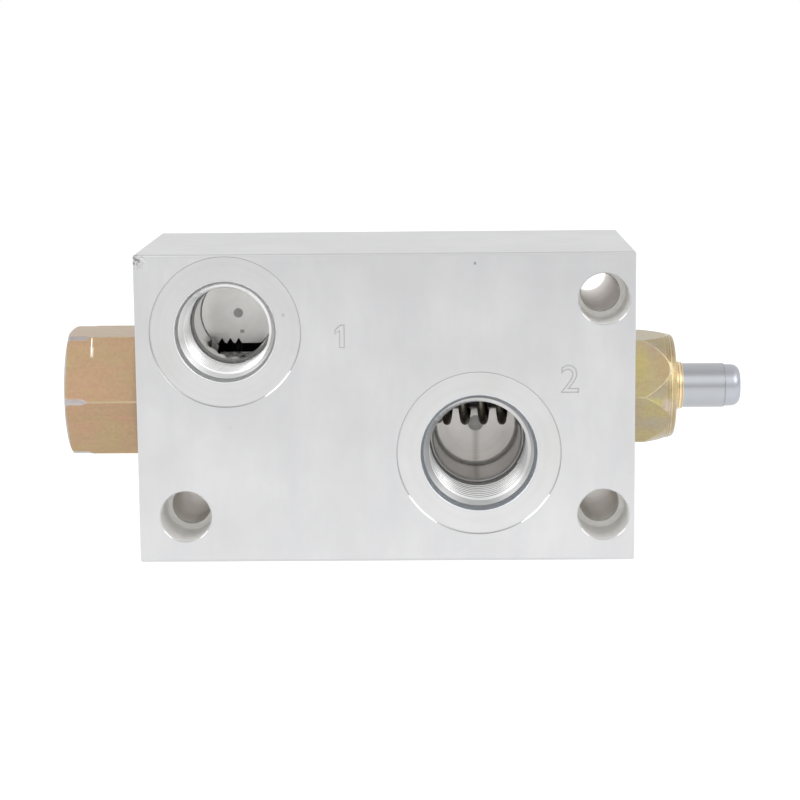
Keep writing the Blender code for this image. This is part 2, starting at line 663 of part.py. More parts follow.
def make_gland():
    """The hex gland that closes the right bore, with the rod's guide, seals and wiper inside."""
    corner = GLAND_FLATS / 2 / math.cos(math.pi / 6)
    shank = RIGHT_BORE / 2 - GAP
    relief = shank - RELIEF_WALL
    relief_start = GLAND_HEAD_FACE - GLAND_RELIEF_LENGTH
    face = GLAND_HEAD_FACE + GLAND_HEAD
    cone_start = GLAND_HEAD_FACE + GLAND_STRAIGHT
    slope = math.tan(math.radians(GLAND_CONE))
    edge_end = face - GLAND_CROWN
    edge_start = edge_end - GLAND_EDGE_LENGTH
    edge_radius = corner - (edge_start - cone_start) * slope
    lip_end = face + GLAND_LIP_LENGTH
    wiper_end = face - WIPER_INSET
    wiper_start = wiper_end - WIPER_LENGTH - 2 * GAP
    seal_start = GLAND_END + GAP + GUIDE_LENGTH + GAP
    seal_end = seal_start + ROD_SEAL_LENGTH
    backup_start = seal_end + GAP
    backup_end = backup_start + BACKUP_WIDTH
    seal_bore = GLAND_SEAL_BORE / 2
    rod_hole = ROD_BORE / 2
    outline = [
        (GLAND_END, seal_bore),
        (backup_end + GAP, seal_bore),
        (backup_end + GAP, rod_hole),
        (wiper_start, rod_hole),
        (wiper_start, WIPER_GROOVE / 2),
        (wiper_end, WIPER_GROOVE / 2),
        (wiper_end, rod_hole),
        (lip_end, rod_hole),
        (lip_end, GLAND_LIP_END / 2),
        (face, GLAND_LIP / 2),
    ]
    outline += reversed(rounded(edge_start, edge_radius, edge_end, edge_radius - GLAND_EDGE_DEPTH))
    outline += [
        (cone_start, corner),
        (GLAND_HEAD_FACE, corner),
        (GLAND_HEAD_FACE, relief),
        (relief_start, relief),
        (relief_start - RELIEF_WALL, shank),
        (GLAND_END + RELIEF_WALL, shank),
        (GLAND_END, shank - RELIEF_WALL),
    ]
    gland = on_axis(turned("plunger_gland", outline, zinc("yellow_zinc_olive", (0.46, 0.40, 0.17)), ring=True))
    cut(gland, hex_ring_cutter("gland_flats", GLAND_HEAD_FACE - GAP, face, GLAND_FLATS, GLAND_TURN, GLAND_FLATS))
    cord_ring("gland_seal_ring", GLAND_HEAD_FACE - GLAND_RELIEF_LENGTH / 2,
              2 * (relief + GAP), RIGHT_MOUTH - 4 * GAP, rubber())

    bush_outer = GLAND_SEAL_BORE - 2 * GAP
    guide_start = GLAND_END + GAP
    tube("rod_guide_bush", guide_start, guide_start + GUIDE_LENGTH, ROD_BORE, bush_outer,
         material("bearing_bronze", (0.45, 0.27, 0.10), 0.35, 1.0))
    middle = (ROD_CLEAR + bush_outer) / 4
    lip = (bush_outer - ROD_CLEAR) / 8
    seal = [
        (seal_start, ROD_CLEAR / 2),
        (seal_end, ROD_CLEAR / 2),
        (seal_end, bush_outer / 2),
        (seal_start, bush_outer / 2),
        (seal_start, middle + lip),
        ((seal_start + seal_end) / 2, middle),
        (seal_start, middle - lip),
    ]
    on_axis(turned("rod_lip_seal", seal, polymer("seal_polymer", (0.05, 0.13, 0.30)), ring=True))
    tube("rod_backup_ring", backup_start, backup_end, ROD_CLEAR, bush_outer,
         polymer("backup_polymer", (0.72, 0.70, 0.62)))
    tube("rod_wiper", wiper_start + GAP, wiper_start + GAP + WIPER_LENGTH, ROD_CLEAR, WIPER_GROOVE - 2 * GAP,
         polymer("seal_polymer", (0.05, 0.13, 0.30)))
    washer_end = GLAND_END - GAP
    tube("spring_washer", washer_end - SPRING_WASHER, washer_end, ROD_CLEAR, RIGHT_BORE - 4 * GAP, steel())
    return washer_end - SPRING_WASHER


def make_valve():
    make_block()
    make_plug()
    make_regulator()
    make_seat()
    back, pin_x = make_poppet()
    make_rod(back, pin_x)
    spring_end = make_gland()
    coil("return_spring", back + GAP, spring_end - GAP, SPRING_DIAMETER, SPRING_WIRE, SPRING_TURNS, SPRING_START,
         spring_steel())


for old in list(bpy.data.objects):
    bpy.data.objects.remove(old)
make_valve()
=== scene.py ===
"""Looks of the pull-to-open manual control valve: machined aluminium, yellow zinc and ground steel."""

import math

import bmesh
import bpy
from mathutils import Matrix, Vector


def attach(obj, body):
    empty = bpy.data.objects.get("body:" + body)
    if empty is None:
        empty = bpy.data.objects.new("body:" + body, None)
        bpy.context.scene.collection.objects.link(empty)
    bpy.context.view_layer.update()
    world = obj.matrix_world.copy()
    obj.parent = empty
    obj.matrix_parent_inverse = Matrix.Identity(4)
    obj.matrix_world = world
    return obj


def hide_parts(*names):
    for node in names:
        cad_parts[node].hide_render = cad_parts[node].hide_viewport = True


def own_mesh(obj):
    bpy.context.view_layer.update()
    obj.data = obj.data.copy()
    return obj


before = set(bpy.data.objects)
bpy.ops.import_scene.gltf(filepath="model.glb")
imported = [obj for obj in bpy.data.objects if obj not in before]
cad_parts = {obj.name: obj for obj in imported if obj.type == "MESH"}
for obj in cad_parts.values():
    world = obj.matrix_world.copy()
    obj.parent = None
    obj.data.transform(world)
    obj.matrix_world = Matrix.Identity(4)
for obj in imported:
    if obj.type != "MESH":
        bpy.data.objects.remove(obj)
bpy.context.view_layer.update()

# Shapes are drawn in millimetres and made metres when they are finished
MM = 0.001
AXIS_Y = 3.175
AXIS_Z = 31.75
TURN_STEPS = 96
BORE_STEPS = 128
THREAD_STEPS = 64
SPRING_STEPS = 40
MERGE_DISTANCE = 0.0004

# Edges that stay sharp in the shading, in degrees
SHARP = 32.0
BLOCK_SHARP = 25.0
CORD_SHARP = 40.0

# Manifold block
BLOCK = (101.6, 50.8, 63.5)
BLOCK_EDGE = 0.4
LEFT = -BLOCK[0] / 2
RIGHT = BLOCK[0] / 2
FRONT = -BLOCK[1] / 2
UPPER_PORT = (-32.43, 47.65)
LOWER_PORT = (19.0, 22.4)
SEAL_DEPTH = 2.6
SPOT_DEPTH = 0.25
THREAD_RELIEF = 0.3

# Where rims catch the light: degrees below the level, reach, and its growth by millimetre outwards
RIM_LIGHT = (44.0, 9.0, 20.0)

# Bolt holes
BOLT_HOLES = {"bolt_left": (-41.275, 9.525), "bolt_right": (44.45, 9.525), "bolt_top": (44.45, 53.975)}
SINK_RADIUS = 5.2
SINK_DEPTH = 12.5
SINK_EDGE = 0.22
SINK_CORNER = 0.4
HOLE_RADIUS = 3.97
HOLE_EDGE = 0.15
BACK_EDGE = 0.2

# Stamped digits
DIGIT_HEIGHT = 0.73
STAMP_RADIUS = 0.13
STAMP_LIFT = 0.02

# Threads: pitch, then radii of the crest and root in the aluminium
FINE_THREAD = (1.5875, 8.7, 9.52)
COARSE_THREAD = (1.8143, 10.13, 11.08)
FLANK_ANGLE = 30.0
LEFT_THREAD_START = -52.77
LEFT_THREAD_END = -32.3

# Cartridge bore: ends of its steps along X, and their radii
LEFT_BORE_END = -18.0
LAND_END = -6.6
NECK_END = -2.6
LEFT_MOUTH = 12.1
LAND_RADIUS = 8.24
NECK_RADIUS = 5.5
RIGHT_MOUTH = 10.45

# Hex plug and gland
PLUG_HEAD = -51.1
PLUG_TIP = -68.25
PLUG_END = -36.4
PLUG_FLATS = 25.4
PLUG_FACE = 11.43
PLUG_TURN = -2.3
BAND_CUT = 0.36
BAND_END = PLUG_TIP + 4.0
GLAND_HEAD = 51.1
GLAND_CONE = 54.4
GLAND_SLOPE = math.tan(math.radians(17.5))
GLAND_FACE = 61.4
GLAND_END = 35.3
GLAND_FLATS = 22.225
GLAND_TURN = -2.7
HEX_CORNER = 0.2

# Pull rod
ROD_RADIUS = 4.7625
ROD_HOLE = 4.86
ROD_START = 9.924
ROD_END = 72.3
TIP_RADIUS = 4.5
TIP_END = 75.6


# Small helpers for meshes


def moved(bm, x, y, z):
    bmesh.ops.translate(bm, vec=(x, y, z), verts=bm.verts)
    return bm


def rotated(bm, angle, axis):
    bmesh.ops.rotate(bm, cent=(0, 0, 0), matrix=Matrix.Rotation(angle, 3, axis), verts=bm.verts)
    return bm


def on_axis(bm):
    """Move a shape that was turned about X to the axis of the cartridge bore."""
    return moved(bm, 0, AXIS_Y, AXIS_Z)


def into_front(bm, x, z):
    """Stand a shape that was turned about X on the block's front, so that it runs into the block."""
    return moved(rotated(bm, math.pi / 2, "Z"), x, FRONT, z)


def bevelled(bm, edges, width, finish):
    bmesh.ops.bevel(bm, geom=edges, offset=width, offset_type="OFFSET", affect="EDGES",
                    segments=3, profile=0.5, material=finish)
    return bm


def across_corners(flats):
    """The radius of a hexagon's corners."""
    return flats / 2 / math.cos(math.pi / 6)


def turned(outline, steps=TURN_STEPS, ring=False):
    """Turn an outline of (x, radius) points about the X axis. A ring's outline closes on itself."""
    bm = bmesh.new()
    points = [bm.verts.new((x, radius, 0)) for x, radius in outline]
    ends = points[1:] + points[:1] if ring else points[1:]
    edges = [bm.edges.new(pair) for pair in zip(points, ends)]
    bmesh.ops.spin(bm, geom=points + edges, cent=(0, 0, 0), axis=(1, 0, 0),
                   angle=math.tau, steps=steps, use_merge=True)
    return bm


def paint(bm, finish, start, end, inner, outer):
    """Give the faces in one stretch along X, between two radii, one of the piece's finishes."""
    for face in bm.faces:
        middle = face.calc_center_median()
        if start < middle.x < end and inner < math.hypot(middle.y, middle.z) < outer:
            face.material_index = finish
    return bm


def paint_rim(bm, finish, start, end, inner, both_sides=True):
    """Give a rim its painted highlight where it catches the light, low on its right and on its left."""
    middle_angle, reach, growth = RIM_LIGHT
    for face in bm.faces:
        middle = face.calc_center_median()
        below = math.degrees(math.atan2(-middle.z, abs(middle.y)))
        out = math.hypot(middle.y, middle.z) - inner
        there = start < middle.x < end and 0 < out and (both_sides or middle.y < 0)
        if there and abs(below - middle_angle) < reach + growth * out:
            face.material_index = finish
    return bm


def rounded(side_x, side_radius, face_x, face_radius, steps=9):
    """Points of a rounded edge in a turned outline, from its side, which runs along X, to its face."""
    turns = [math.pi / 2 * i / steps for i in range(steps + 1)]
    wide, high = face_x - side_x, side_radius - face_radius
    return [(side_x + wide * math.sin(t), face_radius + high * math.cos(t)) for t in turns]


def screw_thread(start, end, pitch, inner, outer, core, inside):
    """One thread ridge wound about the X axis. inside is for the groove that a tap leaves in a hole."""
    bm = bmesh.new()
    foot, top = (0.375, 0.0625) if inside else (0.36, 0.08)
    wide = foot * pitch + (inner - core) * math.tan(math.radians(FLANK_ANGLE))
    section = [(-wide, core), (-top * pitch, outer), (top * pitch, outer), (wide, core)]
    face = bm.faces.new([bm.verts.new((start + x, radius, 0)) for x, radius in section])
    steps = round((end - start) / pitch * THREAD_STEPS)
    bmesh.ops.spin(bm, geom=[face], cent=(0, 0, 0), axis=(1, 0, 0), dvec=(pitch / THREAD_STEPS, 0, 0),
                   angle=math.tau * steps / THREAD_STEPS, steps=steps)
    return bm


def linked(name, data):
    """Add an object to the scene."""
    made = bpy.data.objects.new(name, data)
    bpy.context.scene.collection.objects.link(made)
    return made


def applied(piece):
    """The mesh that a piece has with its modifiers, or that its curve or text makes."""
    graph = bpy.context.evaluated_depsgraph_get()
    return bpy.data.meshes.new_from_object(piece.evaluated_get(graph))


def drawn_mesh(name, drawn):
    """The mesh that a curve or text makes."""
    holder = linked(name, drawn)
    mesh = applied(holder)
    bpy.data.objects.remove(holder)
    return mesh


def mesh_of(bm, name):
    """The mesh of a shape that is done."""
    mesh = bpy.data.meshes.new(name)
    bm.to_mesh(mesh)
    bm.free()
    return mesh


def shade(mesh, sharp=SHARP):
    """Shade a mesh smooth, except at its sharp edges."""
    mesh.shade_smooth()
    mesh.set_sharp_from_angle(angle=math.radians(sharp))


def finished(bm, name, *finishes):
    """Make a closed shape into an object in metres, with its place in its mesh."""
    bmesh.ops.remove_doubles(bm, verts=bm.verts, dist=MERGE_DISTANCE)
    bmesh.ops.recalc_face_normals(bm, faces=bm.faces)
    bmesh.ops.scale(bm, vec=(MM, MM, MM), verts=bm.verts)
    mesh = mesh_of(bm, name)
    shade(mesh)
    for finish in finishes:
        mesh.materials.append(finish)
    return linked(name, mesh)


def machine(target, operation, tools, sharp=SHARP):
    """Cut the tools' shapes out of a piece, or keep what lies inside them, and clear the tools away."""
    for tool in tools:
        step = target.modifiers.new(tool.name, "BOOLEAN")
        step.operation = operation
        step.solver = "MANIFOLD"
        step.material_mode = "TRANSFER"
        step.object = tool
    mesh = applied(target)
    target.modifiers.clear()
    target.data = mesh
    for tool in tools:
        bpy.data.objects.remove(tool)
    shade(mesh, sharp)


def hand_over(piece, node, body):
    """Put a finished piece in its CAD node's place. In the shading its flats stay flat."""
    even = piece.modifiers.new("even_shading", "WEIGHTED_NORMAL")
    even.mode = "FACE_AREA"
    even.weight = 100
    even.keep_sharp = True
    piece.data = applied(piece)
    piece.modifiers.clear()
    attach(piece, body)
    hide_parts(node)


# Small helpers for materials


def fill(tree, made, values):
    """Set a node's inputs, by name or number, to values, or link other sockets to them."""
    for key, value in values.items():
        socket = made.inputs[key]
        if isinstance(value, bpy.types.NodeSocket):
            tree.links.new(value, socket)
        elif socket.type == "RGBA":
            socket.default_value = (*value, 1.0)
        else:
            socket.default_value = value
    return made


def put(tree, kind, values, **settings):
    """Add one shader node."""
    made = tree.nodes.new("ShaderNode" + kind)
    for name, value in settings.items():
        setattr(made, name, value)
    return fill(tree, made, values)


def maths(tree, operation, first, second=0.0, third=0.0):
    return put(tree, "Math", {0: first, 1: second, 2: third}, operation=operation).outputs[0]


def vector_maths(tree, operation, values):
    return put(tree, "VectorMath", values, operation=operation).outputs


def parts_of(tree, vector):
    """The X, Y and Z of a vector."""
    return put(tree, "SeparateXYZ", {0: vector}).outputs


def spread(tree, value, low, high, to_low=0.0, to_high=1.0):
    """Map a value from one range to another, and hold it there."""
    ranges = {"Value": value, "From Min": low, "From Max": high, "To Min": to_low, "To Max": to_high}
    return put(tree, "MapRange", ranges).outputs[0]


def mixed(tree, share, first, second, blend="MIX"):
    """Mix two colours."""
    return put(tree, "Mix", {0: share, 6: first, 7: second}, data_type="RGBA", blend_type=blend).outputs[2]


def noise(tree, vector, scale, detail=3.0, roughness=0.55):
    values = {"Vector": vector, "Scale": scale, "Detail": detail, "Roughness": roughness}
    return put(tree, "TexNoise", values).outputs["Fac"]


# Kinds of the node groups' sockets by name. The others are numbers
SOCKET_KINDS = {"Vector": "Vector", "Film": "Color", "Rose": "Color", "Green": "Color", "Color": "Color"}


def new_group(name, inputs, outputs):
    """Start a shader node group: its tree, the sockets that it reads and the node that it feeds."""
    tree = bpy.data.node_groups.new(name, "ShaderNodeTree")
    for direction, titles in (("INPUT", inputs), ("OUTPUT", outputs)):
        for title in titles:
            kind = "NodeSocket" + SOCKET_KINDS.get(title, "Float")
            tree.interface.new_socket(title, in_out=direction, socket_type=kind)
    return tree, tree.nodes.new("NodeGroupInput").outputs, tree.nodes.new("NodeGroupOutput")


def use_group(tree, group, values):
    """Place a node group in a material with its own values."""
    made = tree.nodes.new("ShaderNodeGroup")
    made.node_tree = group
    return fill(tree, made, values).outputs


def group_drawn_lines():
    """Fine lines along X, as on drawn bar: they vary across it and hardly along it."""
    tree, given, made = new_group("drawn_lines", ["Vector", "Scale", "Stretch"], ["Height"])
    along = maths(tree, "DIVIDE", given["Scale"], given["Stretch"])
    scale = put(tree, "CombineXYZ", {0: along, 1: given["Scale"], 2: given["Scale"]}).outputs[0]
    vector = vector_maths(tree, "MULTIPLY", {0: given["Vector"], 1: scale})[0]
    fill(tree, made, {"Height": noise(tree, vector, 1.0, 4.0, 0.6)})
    return tree


def group_turned_rings():
    """Rings round X, as a lathe or a drill leaves them. Vector has the tool's axis as its X."""
    tree, given, made = new_group("turned_rings", ["Vector", "Scale"], ["Height", "Rings", "Radius"])
    place = parts_of(tree, given["Vector"])
    flat = put(tree, "CombineXYZ", {0: 0.0, 1: place[1], 2: place[2]}).outputs[0]
    radius = vector_maths(tree, "LENGTH", {0: flat})["Value"]
    rings = put(tree, "CombineXYZ", {0: place[0], 1: radius, 2: 0.0}).outputs[0]
    scaled = vector_maths(tree, "SCALE", {0: rings, "Scale": given["Scale"]})[0]
    height = noise(tree, scaled, 1.0, 3.0, 0.65)
    fill(tree, made, {"Height": height, "Rings": noise(tree, scaled, 0.16, 2.0, 0.5), "Radius": radius})
    return tree


def group_bore_shade():
    """How a bore changes: past a depth, along a circle of painted shade and down a streak below the axis, a
    painted dark reflection.
    """
    tree, given, made = new_group("bore_shade", ["Vector", "Radius", "Start", "Circle"],
                                  ["Deep", "Circle", "Streak"])
    place = parts_of(tree, given["Vector"])
    deep = spread(tree, maths(tree, "SUBTRACT", place[0], given["Start"]), 0.0, 3.0 * MM)
    off = maths(tree, "ABSOLUTE", maths(tree, "SUBTRACT", given["Radius"], given["Circle"]))
    circle = spread(tree, off, 0.06 * MM, 0.16 * MM, 1.0, 0.0)
    across = spread(tree, maths(tree, "ABSOLUTE", place[1]), 0.1 * MM, 1.0 * MM, 1.0, 0.0)
    below = spread(tree, place[2], -1.8 * MM, -1.0 * MM, 1.0, 0.0)
    streak = maths(tree, "MULTIPLY", deep, maths(tree, "MULTIPLY", across, below))
    fill(tree, made, {"Deep": deep, "Circle": circle, "Streak": streak})
    return tree


def group_clouding():
    """Soft patches, for stains, handling marks and uneven plating."""
    tree, given, made = new_group("clouding", ["Vector", "Scale", "Low", "High"], ["Mask"])
    patches = noise(tree, given["Vector"], given["Scale"], 5.0, 0.6)
    fill(tree, made, {"Mask": spread(tree, patches, given["Low"], given["High"])})
    return tree


def group_nicks():
    """Sparse small dents and fine scratches."""
    tree, given, made = new_group("nicks", ["Vector", "Scale", "Amount"], ["Mask"])
    bent = put(tree, "TexNoise", {"Vector": given["Vector"], "Scale": given["Scale"], "Detail": 2.0})
    offset = vector_maths(tree, "SCALE", {0: bent.outputs["Color"], "Scale": 2.0 * MM})[0]
    place = vector_maths(tree, "ADD", {0: given["Vector"], 1: offset})[0]
    cells = put(tree, "TexVoronoi", {"Vector": place, "Scale": given["Scale"], "Randomness": 1.0})
    spot = spread(tree, cells.outputs["Distance"], 0.03, 0.09, 1.0, 0.0)
    kept = maths(tree, "LESS_THAN", parts_of(tree, cells.outputs["Color"])[0], given["Amount"])
    fill(tree, made, {"Mask": maths(tree, "MULTIPLY", spot, kept)})
    return tree


def group_chromate_film():
    """The drifting hues of a chromate film: its own colour with rose and green patches."""
    tree, given, made = new_group("chromate_film", ["Vector", "Scale", "Film", "Rose", "Green"], ["Color"])
    shifted = vector_maths(tree, "ADD", {0: given["Vector"], 1: (0.37, 0.11, 0.23)})[0]
    rose, green = [spread(tree, noise(tree, place, given["Scale"], 3.0, 0.5), 0.48, 0.72)
                   for place in (given["Vector"], shifted)]
    warm = mixed(tree, rose, given["Film"], given["Rose"])
    fill(tree, made, {"Color": mixed(tree, green, warm, given["Green"])})
    return tree


DRAWN_LINES = group_drawn_lines()
TURNED_RINGS = group_turned_rings()
BORE_SHADE = group_bore_shade()
CLOUDING = group_clouding()
NICKS = group_nicks()
CHROMATE_FILM = group_chromate_film()


def new_material(name, colour, metallic, roughness):
    """A material with its Principled shader set: its tree, that shader and the object coordinates."""
    made = bpy.data.materials.new(name)
    made.use_nodes = True
    tree = made.node_tree
    shader = tree.nodes["Principled BSDF"]
    fill(tree, shader, {"Base Color": colour, "Metallic": metallic, "Roughness": roughness})
    return made, tree, shader, put(tree, "TexCoord", {}).outputs["Object"]


def surface(tree, shader, colour, rough, height, strength, depth):
    """Link a material's colour, roughness and height to its shader. depth is in millimetres."""
    values = {"Strength": strength, "Distance": depth * MM, "Height": height}
    normal = put(tree, "Bump", values).outputs[0]
    fill(tree, shader, {"Base Color": colour, "Roughness": rough, "Normal": normal})


def clouds_of(tree, place, scale, low, high):
    return use_group(tree, CLOUDING, {"Vector": place, "Scale": scale, "Low": low, "High": high})["Mask"]


def about(tree, vector, centre, turn=(0.0, 0.0, 0.0)):
    """Object coordinates as seen from a tool's axis. centre is in millimetres."""
    values = {"Vector": vector, "Location": [c * MM for c in centre], "Rotation": turn}
    return put(tree, "Mapping", values, vector_type="TEXTURE").outputs[0]


def from_middle(tree, place, low, high):
    """Where a place lies in the box between two corners in millimetres: 0 in its middle, 1 at its sides."""
    middle = [(a + b) / 2 * MM for a, b in zip(low, high)]
    half = [(b - a) / 2 * MM for a, b in zip(low, high)]
    off = vector_maths(tree, "SUBTRACT", {0: place, 1: middle})[0]
    return vector_maths(tree, "DIVIDE", {0: off, 1: half})[0]


def in_box(tree, place, low, high):
    """A mask of a small box with soft edges."""
    sides = vector_maths(tree, "ABSOLUTE", {0: from_middle(tree, place, low, high)})[0]
    across, deep, up = parts_of(tree, sides)
    far = maths(tree, "MAXIMUM", across, maths(tree, "MAXIMUM", deep, up))
    return spread(tree, far, 0.55, 1.0, 1.0, 0.0)


def in_blob(tree, place, low, high):
    """A mask of an egg shape with a ragged edge."""
    far = vector_maths(tree, "LENGTH", {0: from_middle(tree, place, low, high)})["Value"]
    ragged = maths(tree, "MULTIPLY", noise(tree, place, 700.0), 0.8)
    return spread(tree, maths(tree, "ADD", far, ragged), 0.7, 1.4, 1.0, 0.0)


def marked(tree, place, colour, marks):
    """Lay small boxes of colour over a colour: stains and marks, and painted shade and highlights."""
    for low, high, shade_of_mark in marks:
        colour = mixed(tree, in_box(tree, place, low, high), colour, shade_of_mark)
    return colour


def milled_aluminium():
    """The block's outer faces: drawn and milled bar, satin, lightly handled and smeared, with painted shade
    along the lower front edge.
    """
    made, tree, shader, place = new_material("milled_aluminium", (0.65, 0.65, 0.655), 1.0, 0.38)
    lines = use_group(tree, DRAWN_LINES, {"Vector": place, "Scale": 2600.0, "Stretch": 60.0})["Height"]
    clouds = clouds_of(tree, place, 42.0, 0.35, 0.7)
    nicks = use_group(tree, NICKS, {"Vector": place, "Scale": 95.0, "Amount": 0.12})["Mask"]
    tone = mixed(tree, clouds, (0.59, 0.59, 0.595), (0.655, 0.655, 0.66))
    upright = put(tree, "Mapping", {"Vector": place, "Scale": (1.0, 1.0, 0.3)}).outputs[0]
    smears = spread(tree, noise(tree, upright, 120.0, 5.0, 0.65), 0.4, 0.68, 0.0, 0.6)
    tone = mixed(tree, smears, tone, (0.565, 0.568, 0.58))
    tone = mixed(tree, nicks, tone, (0.45, 0.45, 0.46))
    speckle = spread(tree, noise(tree, place, 1300.0, 2.0), 0.44, 0.6)
    worn = maths(tree, "MULTIPLY", in_blob(tree, place, *WORN_CORNER), speckle)
    tone = mixed(tree, worn, tone, (0.24, 0.25, 0.24))
    rough = maths(tree, "MULTIPLY_ADD", lines, 0.14, 0.3)
    rough = maths(tree, "ADD", rough, maths(tree, "MULTIPLY", clouds, 0.05))
    height = maths(tree, "SUBTRACT", lines, maths(tree, "MULTIPLY", nicks, 1.5))
    surface(tree, shader, marked(tree, place, tone, BLOCK_MARKS), rough, height, 0.25, 0.02)
    return made


INTO_BLOCK = (0.0, 0.0, math.pi / 2)


def bored_aluminium(name, centre, tone, deep=None, start=0.0, turn=INTO_BLOCK, clouding=0.4, circle=0.0,
                    streak=0.0, rough=0.27, metal=1.0, marks=()):
    """Aluminium cut about one hole's axis, with rings and stains. Past start, in mm, its colour is deep.
    circle paints a ring of shade, streak a dark reflection below the axis.
    """
    made, tree, shader, place = new_material(name, tone, metal, rough)
    tool = about(tree, place, centre, turn)
    rings = use_group(tree, TURNED_RINGS, {"Vector": tool, "Scale": 5200.0})
    shades = use_group(tree, BORE_SHADE, {"Vector": tool, "Radius": rings["Radius"], "Start": start * MM,
                                          "Circle": circle * MM})
    colour = mixed(tree, shades["Deep"], tone, deep or tone)
    stains = maths(tree, "MULTIPLY", clouds_of(tree, place, 110.0, 0.42, 0.7), clouding)
    colour = mixed(tree, stains, colour, (0.75, 0.73, 0.71), "MULTIPLY")
    colour = mixed(tree, 1.0, colour, mixed(tree, rings["Rings"], (0.94, 0.94, 0.94), (1.06, 1.06, 1.06)),
                   "MULTIPLY")
    # Painted reflection: a dark streak down the floor below the axis
    painted_streak = maths(tree, "MULTIPLY", shades["Streak"], streak)
    colour = mixed(tree, painted_streak, colour, (0.5, 0.49, 0.47), "MULTIPLY")
    # Painted shade: a dark ring along the spot face's edge
    painted_ring_shade = maths(tree, "MULTIPLY", shades["Circle"], 0.6 if circle else 0.0)
    colour = mixed(tree, painted_ring_shade, colour, (0.25, 0.25, 0.24))
    rough = spread(tree, rings["Height"], 0.3, 0.7, rough, rough + 0.13)
    surface(tree, shader, marked(tree, place, colour, marks), rough, rings["Height"], 0.2, 0.005)
    return made


def gland_cone_highlight(tree, place, radius):
    """A mask for a painted highlight along the edge that the gland's cone leaves on its upper flats, broken
    up in rubbed patches.
    """
    corner = across_corners(GLAND_FLATS)
    along, _, up = parts_of(tree, place)
    drop = maths(tree, "MULTIPLY", maths(tree, "SUBTRACT", along, GLAND_CONE * MM), GLAND_SLOPE)
    left = maths(tree, "SUBTRACT", maths(tree, "SUBTRACT", corner * MM, drop), radius)
    edge = spread(tree, left, 0.02 * MM, 0.08 * MM, 1.0, 0.0)
    rubbed = spread(tree, noise(tree, place, 450.0), 0.35, 0.55, 0.3, 1.0)
    upper = spread(tree, up, 27.5 * MM, 29.5 * MM)
    return maths(tree, "MULTIPLY", maths(tree, "MULTIPLY", edge, rubbed), upper)


def yellow_zinc(name, hues, scale, roughness, ring_start=None, cone=False, marks=(), patches=()):
    """Yellow chromated zinc: drifting hues, speckle and milled lines, and rings past ring_start, in mm. With
    cone, a painted highlight along the cone's edge on the upper flats; patches are hue patches or painted
    highlights.
    """
    film, rose, green = hues
    made, tree, shader, place = new_material(name, film, 1.0, roughness)
    broad, fine = [use_group(tree, CHROMATE_FILM, {"Vector": place, "Scale": size, "Film": film, "Rose": rose,
                                                   "Green": green})["Color"] for size in (scale, scale * 4.5)]
    colour = mixed(tree, 0.35, broad, fine)
    for low, high, hue in patches:
        colour = mixed(tree, maths(tree, "MULTIPLY", in_blob(tree, place, low, high), 0.8), colour, hue)
    grain = noise(tree, place, 1400.0, 4.0, 0.65)
    fleck = spread(tree, grain, 0.38, 0.66, 0.0, 0.4)
    colour = mixed(tree, fleck, colour, mixed(tree, 1.0, colour, (0.74, 0.74, 0.74), "MULTIPLY"))
    tool = about(tree, place, (0, AXIS_Y, AXIS_Z))
    turned_lines = use_group(tree, TURNED_RINGS, {"Vector": tool, "Scale": 2600.0})
    if ring_start is not None:
        there = spread(tree, parts_of(tree, place)[0], (ring_start - 0.8) * MM, ring_start * MM)
        ridges = spread(tree, turned_lines["Height"], 0.35, 0.65)
        rings = mixed(tree, ridges, (0.66, 0.6, 0.52), (1.4, 1.38, 1.3))
        colour = mixed(tree, there, colour, mixed(tree, 1.0, colour, rings, "MULTIPLY"))
    # Painted highlight along the cone's edge on the upper flats
    if cone:
        colour = mixed(tree, gland_cone_highlight(tree, place, turned_lines["Radius"]), colour, (0.78, 0.68, 0.43))
    lines = use_group(tree, DRAWN_LINES, {"Vector": place, "Scale": 1800.0, "Stretch": 12.0})["Height"]
    rough = spread(tree, lines, 0.3, 0.7, roughness - 0.06, roughness + 0.08)
    height = maths(tree, "ADD", lines, grain)
    surface(tree, shader, marked(tree, place, colour, marks), rough, height, 0.2, 0.01)
    fill(tree, shader, {"Coat Weight": 0.6, "Coat Roughness": 0.28})
    return made


def ground_steel(name, colour, roughness, rings_depth=0.004, contrast=0.06):
    """Ground and polished steel, with fine rings round the cartridge axis."""
    made, tree, shader, place = new_material(name, colour, 1.0, roughness)
    tool = about(tree, place, (0, AXIS_Y, AXIS_Z))
    rings = use_group(tree, TURNED_RINGS, {"Vector": tool, "Scale": 4200.0})
    darker, lighter = [[c * (1 + change) for c in colour] for change in (-contrast, contrast)]
    tone = mixed(tree, rings["Rings"], darker, lighter)
    spare = contrast * 0.8
    rough = spread(tree, rings["Height"], 0.3, 0.7, roughness - spare, roughness + spare)
    surface(tree, shader, tone, rough, rings["Height"], 0.2, rings_depth)
    return made


def spring_steel():
    """Oil-tempered spring wire: a dark brown scale with a dull gloss and rubbed patches."""
    made, tree, shader, place = new_material("oil_tempered_wire", (0.22, 0.2, 0.165), 1.0, 0.34)
    rubbed = clouds_of(tree, place, 420.0, 0.5, 0.72)
    tone = mixed(tree, rubbed, (0.28, 0.255, 0.21), (0.55, 0.5, 0.42))
    rough = spread(tree, rubbed, 0.0, 1.0, 0.4, 0.27)
    surface(tree, shader, tone, rough, noise(tree, place, 3500.0), 0.15, 0.01)
    return made


def soft_polymer(name, colour, roughness):
    """Seal rings and packings: a dull moulded surface."""
    made, tree, shader, place = new_material(name, colour, 0.0, roughness)
    bloom = clouds_of(tree, place, 260.0, 0.4, 0.75)
    lighter = [min(c * 1.35 + 0.01, 1.0) for c in colour]
    tone = mixed(tree, bloom, colour, lighter)
    rough = spread(tree, bloom, 0.0, 1.0, roughness - 0.08, roughness + 0.1)
    surface(tree, shader, tone, rough, noise(tree, place, 5000.0), 0.2, 0.01)
    return made
